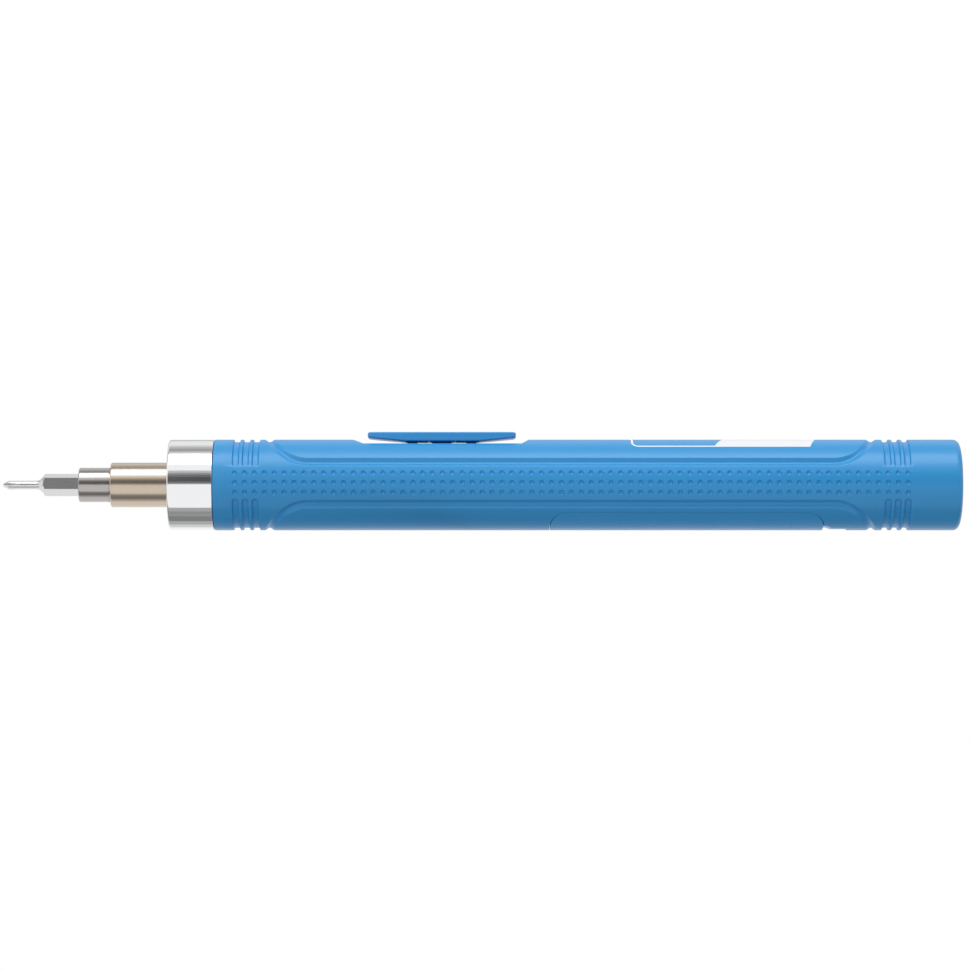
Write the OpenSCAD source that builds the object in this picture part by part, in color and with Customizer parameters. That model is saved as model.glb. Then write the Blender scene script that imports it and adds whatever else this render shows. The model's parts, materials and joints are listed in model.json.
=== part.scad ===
// Pen-type battery torque screwdriver, an assembly of separate sub-parts.
// Frame: origin under the middle of the bounding box, bit towards -X, rocker button up (+Z), millimetres.

/* [Body] */
// Outer diameter of the barrel
barrel_d = 18.5; // [18.3:0.1:19.5]
// Length of the barrel behind the torque collar
barrel_len = 151.8; // [148:0.1:156]
// Wall of the barrel
barrel_wall = 1.2; // [1.1:0.05:1.3]
// Rounding of the tail edge
tail_round = 1.3; // [0.6:0.1:2]
// Gap left along the seam of the two shells
seam_gap = 0.04; // [0.02:0.01:0.1]

/* [Grip pattern] */
// Width of a transverse slot
slot_w = 1.4; // [1:0.1:1.5]
// Depth of a transverse slot
slot_depth = 0.5; // [0.3:0.05:0.6]
// Distance between neighbouring slots
slot_pitch = 2; // [1.9:0.1:2.2]
// Angle above or below the side where a slot ends
slot_end_angle = 20.7; // [18:0.5:24]
// Width of the contour groove round the top and bottom panels
groove_w = 2; // [1.4:0.1:2.2]
// Depth of the contour groove
groove_depth = 0.5; // [0.3:0.05:0.6]
// Half of a panel's width, measured round the barrel
groove_half_arc = 10.1; // [9.6:0.1:10.4]
// Length of the rounded end of a panel
groove_end_len = 8.1; // [7:0.1:9]

/* [Torque collar] */
// Length of the torque collar
collar_len = 9.2; // [9.1:0.1:10]
// Edge rounding of the torque collar
collar_round = 0.5; // [0.2:0.1:0.8]
// Turning range of the collar, in degrees
collar_turn = 300; // [180:10:330]
// Thread pitch of the clutch nut
nut_pitch = 1.2; // [0.8:0.1:1.3]

/* [Chuck] */
// Length of the spindle in front of the sleeve
nose_len = 6.5; // [6:0.1:8]
// Diameter of the spindle
spindle_d = 7; // [6.9:0.05:7.1]
// Length of the release sleeve in front of the collar
sleeve_len = 11.9; // [11.5:0.1:12.5]
// Diameter of the release sleeve
sleeve_d = 9.1; // [9:0.05:9.2]
// Travel of the release sleeve
sleeve_travel = 1.9; // [1.5:0.1:1.9]
// Width across the flats of the bit
bit_af = 4; // [3.9:0.05:4.1]
// Length of the bit
bit_len = 28; // [27:0.5:28.5]
// How far the bit reaches out of the spindle
bit_reach = 15.6; // [14.6:0.1:16]
// Length of the bit's round neck
bit_neck_len = 7.4; // [6:0.1:8]
// Diameter of the bit's round neck
bit_neck_d = 1.75; // [1.5:0.05:2.4]
// Turn of the bit about its axis at rest, in degrees
bit_roll = 6.5; // [0:0.5:12]

/* [Rocker button] */
// Length of the rocker button
rocker_len = 30.2; // [28:0.1:31]
// Width of the rocker button
rocker_w = 7.4; // [7:0.1:8]
// Corner radius of the rocker, seen from above
rocker_round = 1.6; // [1:0.1:2.5]
// Height of the rocker's top face above the barrel's axis
rocker_top = 10.86; // [10.8:0.02:11.4]
// Height of the flat under the rocker, above the axis
flat_z = 8.26; // [8.2:0.02:8.4]
// Tilt of the rocker to each side, in degrees
rocker_tilt = 3; // [1.5:0.25:3]
// Distance of each switch leg from the rocker's pivot
leg_lever = 6; // [5.6:0.1:6.2]

/* [Battery door] */
// Length of the battery door
door_len = 55.4; // [55:0.1:56]
// Half of the door's width
door_half_w = 6.95; // [6.6:0.05:7]
// Corner radius of the door
door_round = 3; // [2:0.1:4]
// Gap round the door
door_gap = 0.15; // [0.12:0.01:0.2]
// Opening angle of the door, in degrees
door_open = 50; // [20:5:55]

/* [Battery] */
// Diameter of the cell
cell_d = 10.5; // [10.2:0.1:10.5]
// Length of the cell's can
cell_len = 43.6; // [43.5:0.1:44]

/* [Gears] */
// Gear module
gear_m = 0.4; // [0.395:0.001:0.4]
// Teeth of a sun gear
sun_z = 9;
// Teeth of a planet gear
planet_z = 12;
// Play between two tooth flanks
backlash = 0.06; // [0.05:0.01:0.08]
// Length of the motor's can
motor_len = 20; // [18:0.5:20]

/* [Fits] */
// Radial play of a running fit
run_gap = 0.04; // [0.03:0.01:0.05]
// Gap between pieces that stay together
seat_gap = 0.05; // [0.03:0.01:0.06]

/* [Hidden] */
$fn = 48;
R = barrel_d / 2;
axis_z = R;
big = 40;
collar_gap = 0.1;
total_len = bit_reach + nose_len + sleeve_len + collar_len + collar_gap + barrel_len;
x_tip = -total_len / 2;
x_nose = x_tip + bit_reach;
x_sleeve = x_nose + nose_len;
x_collar = x_sleeve + sleeve_len;
x_body = x_collar + collar_len + collar_gap;
x_tail = x_body + barrel_len;
// Gear sizes
ring_z = sun_z + 2 * planet_z;
pressure = 25;
planet_r = gear_m * (sun_z + planet_z) / 2;
addendum = 0.85 * gear_m;
dedendum = 1.2 * gear_m;
ring_root = gear_m * ring_z / 2 + dedendum;
ring_tip = gear_m * ring_z / 2 - 0.75 * gear_m;
pin_r = 0.78;
carrier_r = 5.9;
// Clutch and gearbox, as distances behind the barrel's front face
case_r = R - barrel_wall - seat_gap;
bush_r = 4.1;
web_x = x_body + 0.5;
web_t = 1.1;
ball_r = 0.75;
ball_circle = 5.05;
ball_x = web_x + ball_r - 0.1;
ball_n = 6;
ring_play = 0.1;
ring_x = web_x + web_t + ring_play;
ring_flange = 1;
flange_bore = bush_r + 0.2;
ring_wall = 0.37;
ring_r = ring_root + ring_wall;
case_bore = ring_r + seat_gap;
gear_gap = 0.2;
flange_x = ring_x + ring_flange + 0.25;
flange_t = 1.4;
planet2_x = flange_x + flange_t + gear_gap;
planet2_w = 3.8;
carrier_x = planet2_x + planet2_w + gear_gap;
carrier_t = 1.2;
planet1_x = carrier_x + carrier_t + gear_gap;
planet1_w = 3.4;
plate_x = planet1_x + planet1_w + 0.3;
plate_t = 1;
ring_end = carrier_x + 0.4;
ring1_x = ring_end + 0.3;
motor_x = plate_x + plate_t;
motor_end = motor_x + motor_len;
motor_r = 6;
motor_flat = 5;
bell_t = 1.6;
shaft_r = 0.75;
// Neck that carries the collar
neck_r = 6.7;
neck_bore = 5.95;
neck_x = x_collar + 1.3;
collar_r = R - 0.03;
collar_flange = 1.1;
sleeve_r = sleeve_d / 2;
spindle_r = spindle_d / 2;
collar_hole = sleeve_r + 0.17;
ret_x = neck_x + 0.4;
ret_t = 0.6;
ret_r = 7.3;
nut_travel = nut_pitch * collar_turn / 360;
nut_x = neck_x + 0.6;
nut_t = 1.8;
nut_r = neck_bore - run_gap;
nut_bore = sleeve_r + 0.2;
tongue_in = nut_bore + 0.1;
tongue_out = tongue_in + 0.6;
tongue_w = 1.6;
press_t = 0.97;
press_x = ball_x - ball_r - 0.03 - press_t;
press_in = 4.45;
press_out = neck_bore - 0.1;
clutch_wire = 0.4;
clutch_mean = 5.05;
bush_x = web_x - 2.3;
bush_end = web_x + web_t + 0.05;
clip_t = 0.6;
clip_x = bush_x - 0.2 - clip_t;
// Chuck
hex_r = bit_af / 2 / cos(30);
x_bit_end = x_tip + bit_len;
lock_r = 1;
lock_x = x_bit_end - 2;
lock_in = spindle_r - 0.95;
lock_out = 0.5;
land_r = spindle_r + 0.08;
ramp = lock_out / sleeve_travel;
ramp_r = lock_in + lock_r * sqrt(1 + ramp * ramp) + 0.02;
recess_r = ramp_r + lock_out;
sleeve_end = x_collar + 1.4;
shoulder_x = lock_x + 1.4;
spring_bore = spindle_r + 0.6;
seat_x = shoulder_x + 5.9;
seat_t = 0.5;
front_ring_t = 0.4;
nose_gap = 0.3;
front_ring_r = spindle_r + 0.45;
sleeve_wire = 0.2;
sleeve_mean = spindle_r + 0.3;
magnet_t = 2;
magnet_r = 2;
// Rocker and switches, heights above the axis
x_pivot = x_body + 46.3;
rocker_low = 8.8;
rocker_end_low = 9.5;
flat_front = x_pivot - 16;
flat_rear = x_pivot + 16.3;
ceiling_z = 7.2;
pivot_z = 9.35;
rocker_pin_r = 0.5;
leg_w = 2.3;
leg_d = 3;
leg_low = 7.9;
pocket_len = 14.9;
pocket_w = 5.9;
pocket_top = 10.15;
post_len = 4;
post_w = 3.2;
board_z = 5.3;
board_t = 0.6;
board_top = board_z + board_t;
board_x = x_pivot - 18.7;
board_len = 38.4;
board_w = 10.3;
switch_len = 3.6;
switch_w = 4.2;
switch_h = 1;
plunger_r = 0.8;
plunger_gap = 0.03;
// Battery bay
door_x = x_body + 68.4;
door_end = door_x + door_len;
door_in = R - barrel_wall;
bulk_front = door_x - 0.1;
bay_x = door_x + 1.7;
bay_end = door_end - 1.9;
cell_z = -1.2;
cell_r = cell_d / 2;
contact_t = 0.3;
nub_len = 0.9;
cell_x = bay_x + 0.05 + contact_t + 0.05 + nub_len;
cell_end = cell_x + cell_len;
strip_z = board_top + 0.05;
bore_r = R - barrel_wall - 0.15;
tail_x = door_end + 3;
tail_wall = 1.6;

// Draws in axis coordinates: x to the side (+Y), y up, z along the tool (+X)
module along() {
  translate([0, 0, axis_z])
    rotate([90, 0, 90])
      children();
}

// Solid of revolution from [radius, position] points
module turned(points) {
  rotate_extrude()
    polygon(points);
}

// Ring or tube between two positions
module ring(x0, x1, r_out, r_in) {
  turned([[r_in, x0], [r_out, x0], [r_out, x1], [r_in, x1]]);
}

// Box from one corner to the other, in axis coordinates
module slab(x0, x1, y0, y1, z0, z1) {
  translate([x0, y0, z0])
    cube([x1 - x0, y1 - y0, z1 - z0]);
}

// Cylinder along the tool
module rod(x0, x1, r, side = 0, up = 0) {
  translate([side, up, x0])
    cylinder(r = r, h = x1 - x0);
}

// Upright cylinder
module post(x, z0, z1, r, side = 0) {
  translate([side, z0, x])
    rotate([-90, 0, 0])
      cylinder(r = r, h = z1 - z0);
}

// Arc points for a rounded edge: centre, radius, first and last angle
function arc(cx, cy, r, a0, a1, n = 5) = [for (i = [0:n]) let (a = a0 + (a1 - a0) * i / n)
  [cx + r * cos(a), cy + r * sin(a)]];

// Coil spring along the tool
module coil(x0, x1, mean, wire, turns, seg = 14, sides = 6) {
  n = round(turns * seg);
  pitch = (x1 - x0 - 2 * wire) / turns;
  points = [for (i = [0:n]) for (k = [0:sides - 1])
    let (a = 360 * i / seg, b = 360 * k / sides)
    let (r = mean + wire * cos(b))
    [r * cos(a), r * sin(a), x0 + wire + pitch * i / seg + wire * sin(b)]];
  walls = [for (i = [0:n - 1]) for (k = [0:sides - 1])
    let (a = i * sides + k, b = i * sides + (k + 1) % sides)
    [b, a, a + sides, b + sides]];
  start = [[for (k = [0:sides - 1]) k]];
  finish = [[for (k = [sides - 1:-1:0]) n * sides + k]];
  polyhedron(points, concat(walls, start, finish), convexity = 6);
}

// Involute of an angle, in degrees
function inv(a) = tan(a) * 180 / PI - a;

// Half the tooth angle at radius r
function half_angle(r, z, play) = let (rp = gear_m * z / 2, rb = rp * cos(pressure))
  90 / z - play / 2 / rp * 180 / PI + inv(pressure) - (r > rb ? inv(acos(rb / r)) : 0);

function polar(r, a) = [r * cos(a), r * sin(a)];

// Outline of a gear with one tooth centred on the +x direction
function gear_outline(z, r_low, r_high, play) =
  let (rp = gear_m * z / 2, rb = rp * cos(pressure))
  let (low = max(rb, r_low), rr = [r_low, low + 0.02, (low + r_high) / 2, r_high])
  [for (i = [0:z - 1]) for (k = [0:7])
    let (j = k < 4 ? k : 7 - k, s = k < 4 ? -1 : 1)
    polar(rr[j], 360 * i / z + s * half_angle(rr[j], z, play))];

module gear(z, x0, x1, bore) {
  rp = gear_m * z / 2;
  difference() {
    translate([0, 0, x0])
      linear_extrude(x1 - x0)
        polygon(gear_outline(z, rp - dedendum, rp + addendum, backlash));
    if (bore > 0)
      rod(x0 - 1, x1 + 1, bore);
  }
}

// Hole of an internal gear with one tooth of the ring centred on the +x direction
module ring_hole(x0, x1) {
  translate([0, 0, x0])
    rotate([0, 0, 180 / ring_z])
      linear_extrude(x1 - x0)
        polygon(gear_outline(ring_z, ring_tip, ring_root, -backlash));
}

// Planet number i of a stage
module planet(i, x0, x1) {
  turn = 120 * i;
  rotate([0, 0, 90 + turn])
    translate([planet_r, 0, 0])
      rotate([0, 0, 0.75 * turn - 180 / planet_z])
        gear(planet_z, x0, x1, pin_r + run_gap);
}

// Outer form of the barrel
module barrel_solid() {
  turned(concat([[0, x_body]], arc(R - 0.3, x_body + 0.3, 0.3, -90, 0, 3),
    arc(R - tail_round, x_tail - tail_round, tail_round, 0, 90, 6), [[0, x_tail]]));
}

// Slots across the top; turn them over for the bottom
module slot_row(x0, count) {
  sweep = 180 - 2 * slot_end_angle;
  for (i = [0:count - 1])
    translate([0, 0, x0 + i * slot_pitch])
      rotate([0, 0, slot_end_angle])
        rotate_extrude(angle = sweep)
          polygon([[R - slot_depth, -slot_w / 2], [R + 1, -slot_w / 2],
            [R + 1, slot_w / 2], [R - slot_depth, slot_w / 2]]);
}

slot_front_x = x_body + 4.6;
slot_rear_x = x_body + 136.6;
panel_front = x_body + 19.3;
panel_rear = x_body + 125.7;

// Centre line of the contour groove: [angle from the top, position]
function groove_path(n) = [for (i = [0:4 * n - 1])
  let (q = floor(i / n), t = 90 * (i % n) / n)
  q == 0 ? [groove_arc_deg * cos(t), panel_rear + groove_end_len * sin(t)] :
  q == 1 ? [-groove_arc_deg * sin(t), panel_rear + groove_end_len * cos(t)] :
  q == 2 ? [-groove_arc_deg * cos(t), panel_front - groove_end_len * sin(t)] :
  [groove_arc_deg * sin(t), panel_front - groove_end_len * cos(t)]];
groove_arc_deg = groove_half_arc / R * 180 / PI;

// Groove cutter: a wedge swept round the panel
module groove_cutter(n = 9) {
  path = groove_path(n);
  m = len(path);
  half = groove_w / 2;
  lift = 0.3;
  side = half * (groove_depth + lift) / groove_depth;
  prof = [[-side, lift], [side, lift], [0.25, -groove_depth], [-0.25, -groove_depth]];
  points = [for (i = [0:m - 1])
    let (p = path[i], a = path[(i + m - 1) % m], b = path[(i + 1) % m])
    let (tu = (b[0] - a[0]) * PI / 180 * R, tv = b[1] - a[1], l = sqrt(tu * tu + tv * tv))
    for (q = prof)
      let (du = -tv / l * q[0], dv = tu / l * q[0], r = R + q[1])
      let (ang = 90 + p[0] + du / R * 180 / PI)
      [r * cos(ang), r * sin(ang), p[1] + dv]];
  faces = [for (i = [0:m - 1]) for (k = [0:3])
    let (j = (i + 1) % m, k2 = (k + 1) % 4)
    [i * 4 + k2, j * 4 + k2, j * 4 + k, i * 4 + k]];
  polyhedron(points, faces, convexity = 8);
}

// Draws side outlines: the 2D x axis becomes the tool's axis, the 2D y axis stays up
module sideways(width) {
  rotate([0, -90, 0])
    translate([0, 0, -width / 2])
      linear_extrude(width)
        children();
}

// Recess on top for the rocker
module flat_cut() {
  sideways(big)
    polygon([[flat_front, flat_z], [flat_front - 4.4, flat_z + 1.98],
      [flat_rear + 3, flat_z + 1.98], [flat_rear, flat_z]]);
}

// Upright prism with rounded corners: half length l, half width w, corner radius c
module plan_prism(l, w, c, mid, z0, z1) {
  translate([0, z1, mid])
    rotate([90, 0, 0])
      linear_extrude(z1 - z0)
        polygon(concat(arc(w - c, l - c, c, 0, 90, 6), arc(c - w, l - c, c, 90, 180, 6),
          arc(c - w, c - l, c, 180, 270, 6), arc(w - c, c - l, c, 270, 360, 6)));
}

// Plan form of the battery door, below the axis
module door_prism(gap, z0, z1) {
  plan_prism(door_len / 2 + gap, door_half_w + gap, door_round + gap, door_x + door_len / 2, z0, z1);
}

// Everything hollow inside the barrel
module bores(seam_turn) {
  rotate([0, 0, seam_turn]) {
    rod(x_body - 1, plate_x + plate_t + 0.2, case_r + seat_gap);
    rod(tail_x, x_tail - tail_wall, bore_r);
  }
  difference() {
    rotate([0, 0, seam_turn])
      rod(plate_x, bulk_front, bore_r);
    slab(-big, big, ceiling_z, big, flat_front - 4.4, flat_rear + 4);
    for (s = [-1, 1])
      slab(min(s * 4.9, s * big), max(s * 4.9, s * big), board_z - 0.7, board_z - 0.06,
        board_x + 0.5, board_x + board_len);
    difference() {
      slab(-big, big, -big, board_z - 1, motor_x + 6, motor_x + 8);
      rod(motor_x, motor_end, motor_r + 0.1);
    }
  }
  difference() {
    rotate([0, 0, seam_turn])
      rod(bay_x, bay_end, bore_r);
    for (x = [bay_x + 9, bay_x + 25, bay_x + 41])
      difference() {
        slab(-big, big, -4, big, x, x + 1.2);
        rod(x - 1, x + 3, cell_r + 0.12, 0, cell_z);
        slab(-cell_r - 0.12, cell_r + 0.12, -big, cell_z, x - 1, x + 3);
        slab(-3.3, 3.3, 0, big, x - 1, x + 3);
      }
  }
  slab(-3.3, 3.3, board_z - 0.1, board_top + 0.9, bulk_front - 1, bay_x + 1);
  for (s = [-1, 1])
    slab(s * 3 - 1.3, s * 3 + 1.3, -door_in - 0.1, -6.6, door_x - 1.5, bay_x + 1);
}

// Openings through the flat for the switch legs and the pivot block
module flat_openings() {
  for (s = [-1, 1])
    slab(-leg_d / 2 - 0.3, leg_d / 2 + 0.3, ceiling_z - 1, flat_z + 1,
      x_pivot + s * leg_lever - leg_w / 2 - 0.3, x_pivot + s * leg_lever + leg_w / 2 + 0.3);
  slab(-post_w / 2 - seat_gap, post_w / 2 + seat_gap, ceiling_z - 1, flat_z + 1,
    x_pivot - post_len / 2 - seat_gap, x_pivot + post_len / 2 + seat_gap);
}

// Nail notch and shallow thumb recess behind the door
module nail_notch() {
  sideways(7.2)
    polygon([[door_end - 0.5, -R - 1], [door_end - 0.5, -R + 0.9], [door_end + 0.4, -R + 0.9],
      [door_end + 1.9, -R + 0.3], [door_end + 5, -R + 0.3], [door_end + 5.6, -R - 1]]);
}

// The barrel's wall. seam_turn turns the round faces, so that their own seam lies on the other shell
module barrel(seam_turn) {
  difference() {
    rotate([0, 0, seam_turn])
      barrel_solid();
    bores(seam_turn);
    flat_cut();
    flat_openings();
    for (t = [0, 180])
      rotate([0, 0, t]) {
        slot_row(slot_front_x, 3);
        slot_row(slot_rear_x, 3);
        groove_cutter();
      }
    door_prism(door_gap, -big, -2);
    nail_notch();
  }
}

locate_x = [bulk_front - 6, tail_x + 8];

module housing_left() {
  color([0.24, 0.61, 0.89])
    along()
      union() {
        intersection() {
          barrel(0);
          slab(-big, -seam_gap / 2, -big, big, x_body - 1, x_tail + 1);
        }
        for (x = locate_x)
          difference() {
            intersection() {
              translate([-big, -3, x])
                rotate([0, 90, 0])
                  cylinder(r = 1.8, h = big - seam_gap / 2);
              rod(x - 3, x + 3, bore_r + 0.2);
            }
            translate([-3, -3, x])
              rotate([0, 90, 0])
                cylinder(r = 0.9 + seat_gap, h = 4);
          }
      }
}

module housing_right() {
  color([0.24, 0.61, 0.89])
    along()
      union() {
        intersection() {
          barrel(180);
          slab(seam_gap / 2, big, -big, big, x_body - 1, x_tail + 1);
        }
        for (x = locate_x) {
          intersection() {
            translate([seam_gap / 2, -3, x])
              rotate([0, 90, 0])
                cylinder(r = 1.8, h = big);
            rod(x - 3, x + 3, bore_r + 0.2);
          }
          translate([-2.6, -3, x])
            rotate([0, 90, 0])
              cylinder(r = 0.9, h = 4);
        }
      }
}

module battery_door() {
  color([0.24, 0.61, 0.89])
    along() {
      intersection() {
        ring(door_x - 1, door_end + 1, R, door_in + 0.05);
        door_prism(0, -big, -2);
      }
      for (s = [-1, 1])
        slab(s * 3 - 0.9, s * 3 + 0.9, -door_in + 0.4, -7, door_x - 1, door_x + 3);
      for (x = [door_x + 14, door_x + 38])
        intersection() {
          slab(-4, 4, -R + 0.5, cell_z - cell_r - 0.25, x, x + 1.4);
          rod(x - 1, x + 3, R - 0.4);
        }
    }
}

module battery_cell() {
  color([0.16, 0.17, 0.2])
    along() {
      translate([0, cell_z, 0])
        turned(concat([[0, cell_x - nub_len], [1.8, cell_x - nub_len], [1.8, cell_x]],
          arc(cell_r - 0.4, cell_x + 0.4, 0.4, -90, 0, 3),
          arc(cell_r - 0.4, cell_end - 0.4, 0.4, 0, 90, 3), [[0, cell_end]]));
    }
}

module battery_spring() {
  color([0.8, 0.8, 0.78])
    along()
      translate([0, cell_z, 0])
        coil(cell_end + 0.05, bay_end - 0.05 - contact_t - 0.05, 2.8, 0.3, 4);
}

module contact_front() {
  color([0.82, 0.7, 0.45])
    along() {
      slab(-3, -1, -4.5, strip_z + contact_t, bay_x + 0.05, bay_x + 0.05 + contact_t);
      slab(-3.5, 3.5, -4.5, 2, bay_x + 0.05, bay_x + 0.05 + contact_t);
      slab(-3, -1, strip_z, strip_z + contact_t, board_x + board_len - 3, bay_x + 0.05 + contact_t);
    }
}

module contact_rear() {
  color([0.82, 0.7, 0.45])
    along() {
      slab(1, 3, -4.5, strip_z + contact_t, bay_end - 0.05 - contact_t, bay_end - 0.05);
      slab(-3.5, 3.5, -4.5, 2, bay_end - 0.05 - contact_t, bay_end - 0.05);
      slab(1, 3, strip_z, strip_z + contact_t, board_x + board_len - 3, bay_end - 0.05);
    }
}

module control_board() {
  color([0.08, 0.36, 0.2])
    along()
      slab(-board_w / 2, board_w / 2, board_z, board_top, board_x, board_x + board_len);
}

module controller_chip() {
  color([0.08, 0.08, 0.09])
    along()
      slab(-2, 2, board_top + 0.03, board_top + 0.9, x_pivot + 10.5, x_pivot + 14.5);
}

module filter_capacitor() {
  color([0.1, 0.12, 0.16])
    along() {
      rod(x_pivot + 8.5, x_pivot + 15, 2.6, 0, board_z - 2.8);
      for (s = [-1, 1]) {
        rod(x_pivot + 7, x_pivot + 8.6, 0.3, s, board_z - 2.8);
        post(x_pivot + 7, board_z - 2.8, board_z - 0.03, 0.3, s);
      }
    }
}

module switch_body(x) {
  color([0.12, 0.12, 0.13])
    along()
      difference() {
        slab(-switch_w / 2, switch_w / 2, board_top + 0.02, board_top + switch_h,
          x - switch_len / 2, x + switch_len / 2);
        post(x, board_top + 0.12, board_top + 3, plunger_r + run_gap);
      }
}

module switch_plunger(x) {
  color([0.9, 0.9, 0.88])
    along()
      post(x, board_top + 0.5, leg_low - plunger_gap, plunger_r);
}

module switch_body_front() { switch_body(x_pivot - leg_lever); }
module switch_body_rear() { switch_body(x_pivot + leg_lever); }
module switch_plunger_front() { switch_plunger(x_pivot - leg_lever); }
module switch_plunger_rear() { switch_plunger(x_pivot + leg_lever); }

// Side outline of the rocker: [position, height]
module rocker_side(inset) {
  h = rocker_len / 2 - inset;
  t = rocker_top - inset;
  c = 0.5;
  polygon(concat(arc(h - c, t - c, c, 0, 90, 4), arc(c - h, t - c, c, 90, 180, 4),
    [[-h, rocker_end_low + inset + 0.3], [-h + 0.3, rocker_end_low + inset],
      [-7.5 - inset, rocker_low + inset], [7.5 + inset, rocker_low + inset],
      [h - 0.3, rocker_end_low + inset], [h, rocker_end_low + inset + 0.3]]));
}

module rocker_button() {
  w = rocker_w / 2;
  c = 0.7;
  color([0.24, 0.61, 0.89])
    along()
      difference() {
        intersection() {
          translate([0, 0, x_pivot])
            sideways(rocker_w)
              rocker_side(0);
          translate([0, 0, x_pivot - rocker_len])
            linear_extrude(2 * rocker_len)
              polygon(concat([[-w, 8], [w, 8]], arc(w - c, rocker_top - c, c, 0, 90, 4),
                arc(c - w, rocker_top - c, c, 90, 180, 4)));
          plan_prism(rocker_len / 2 + 0.01, w + 0.01, rocker_round, x_pivot, 7, big);
        }
        slab(-pocket_w / 2, pocket_w / 2, 8, pocket_top, x_pivot - pocket_len / 2, x_pivot + pocket_len / 2);
      }
}

module rocker_frame() {
  g = seat_gap;
  color([0.02, 0.2, 0.55])
    along() {
      difference() {
        slab(-pocket_w / 2 + g, pocket_w / 2 - g, rocker_low, pocket_top - g,
          x_pivot - pocket_len / 2 + g, x_pivot + pocket_len / 2 - g);
        slab(-post_w / 2 - 0.15, post_w / 2 + 0.15, 8, big, x_pivot - post_len / 2 - 0.5,
          x_pivot + post_len / 2 + 0.5);
        translate([-big / 2, pivot_z, x_pivot])
          rotate([0, 90, 0])
            cylinder(r = rocker_pin_r + 0.02, h = big);
      }
      for (s = [-1, 1])
        translate([0, 0, x_pivot + s * leg_lever])
          sideways(leg_d)
            polygon(concat([[leg_w / 2, rocker_low + 0.3], [-leg_w / 2, rocker_low + 0.3]],
              arc(0, leg_low + leg_w / 2, leg_w / 2, 180, 360, 8)));
    }
}

module rocker_pin() {
  color([0.75, 0.75, 0.77])
    along()
      translate([-pocket_w / 2 + 0.1, pivot_z, x_pivot])
        rotate([0, 90, 0])
          cylinder(r = rocker_pin_r, h = pocket_w - 0.2);
}

module pivot_block() {
  color([0.02, 0.2, 0.55])
    along()
      difference() {
        union() {
          slab(-post_w / 2, post_w / 2, board_top + 0.1, pivot_z + 0.6, x_pivot - post_len / 2,
            x_pivot + post_len / 2);
          slab(-2.6, 2.6, board_top + 0.1, ceiling_z - seat_gap, x_pivot - 3, x_pivot + 3);
        }
        translate([-big / 2, pivot_z, x_pivot])
          rotate([0, 90, 0])
            cylinder(r = rocker_pin_r + run_gap, h = big);
      }
}

module gear_case() {
  color([0.72, 0.73, 0.75])
    along()
      difference() {
        turned([[neck_bore, neck_x], [neck_r, neck_x], [neck_r, ret_x], [neck_r - 0.3, ret_x],
          [neck_r - 0.3, ret_x + ret_t + 0.04], [neck_r, ret_x + ret_t + 0.04], [neck_r, x_body + 0.1],
          [case_r, x_body + 0.1], [case_r, plate_x - seat_gap], [ring_tip - 1, plate_x - seat_gap],
          [ring_tip - 1, ring1_x - 0.2], [case_bore, ring1_x - 0.2], [case_bore, web_x + web_t],
          [bush_r + 0.02, web_x + web_t], [bush_r + 0.02, web_x], [neck_bore, web_x]]);
        rotate([0, 0, 90])
          ring_hole(ring1_x - 0.3, plate_x + 1);
        for (i = [0:ball_n - 1])
          rotate([0, 0, 360 * i / ball_n])
            rod(web_x - 1, web_x + web_t + 1, ball_r + 0.05, ball_circle, 0);
      }
}

module clutch_ring_gear() {
  color([0.55, 0.55, 0.57])
    along()
      difference() {
        turned([[flange_bore, ring_x], [ring_r, ring_x], [ring_r, ring_end], [ring_tip - 1, ring_end],
          [ring_tip - 1, ring_x + ring_flange], [flange_bore, ring_x + ring_flange]]);
        rotate([0, 0, 90])
          ring_hole(ring_x + ring_flange, ring_end + 1);
        for (i = [0:ball_n - 1])
          rotate([0, 0, 360 * i / ball_n])
            translate([ball_circle, 0, ball_x])
              sphere(r = ball_r + 0.05);
      }
}

module pressure_plate() {
  color([0.7, 0.7, 0.72])
    along()
      ring(press_x, press_x + press_t, press_out, press_in);
}

module clutch_balls() {
  color([0.85, 0.85, 0.87])
    along()
      for (i = [0:ball_n - 1])
        rotate([0, 0, 360 * i / ball_n])
          translate([ball_circle, 0, ball_x])
            sphere(r = ball_r);
}

module clutch_spring() {
  color([0.6, 0.6, 0.62])
    along()
      coil(nut_x + nut_t + 0.02, press_x - 0.02, clutch_mean, clutch_wire, 3.5, 18);
}

module clutch_nut() {
  color([0.8, 0.66, 0.36])
    along()
      difference() {
        ring(nut_x, nut_x + nut_t, nut_r, nut_bore);
        for (s = [0, 180])
          rotate([0, 0, s])
            slab(0, tongue_out + 0.1, -tongue_w / 2 - 0.1, tongue_w / 2 + 0.1, nut_x - 1, nut_x + nut_t + 1);
      }
}

module torque_collar() {
  step = ret_x + ret_t + 0.15;
  c = collar_round;
  x1 = x_body - collar_gap;
  color([0.86, 0.87, 0.88])
    along() {
      turned(concat([[collar_hole, x_collar]], arc(collar_r - c, x_collar + c, c, -90, 0, 5),
        arc(collar_r - 0.2, x1 - 0.2, 0.2, 0, 90, 2),
        [[neck_r + run_gap, x1], [neck_r + run_gap, step], [ret_r + 0.1, step],
          [ret_r + 0.1, x_collar + collar_flange], [collar_hole, x_collar + collar_flange]]));
      for (s = [0, 180])
        rotate([0, 0, s])
          slab(tongue_in, tongue_out, -tongue_w / 2, tongue_w / 2, x_collar + collar_flange - 0.3,
            nut_x + nut_t - 0.1);
    }
}

module collar_retainer() {
  color([0.45, 0.46, 0.48])
    along()
      difference() {
        ring(ret_x + 0.02, ret_x + 0.02 + ret_t, ret_r, neck_r - 0.28);
        slab(-1.2, 1.2, 0, big, ret_x - 1, ret_x + 2);
      }
}

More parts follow.
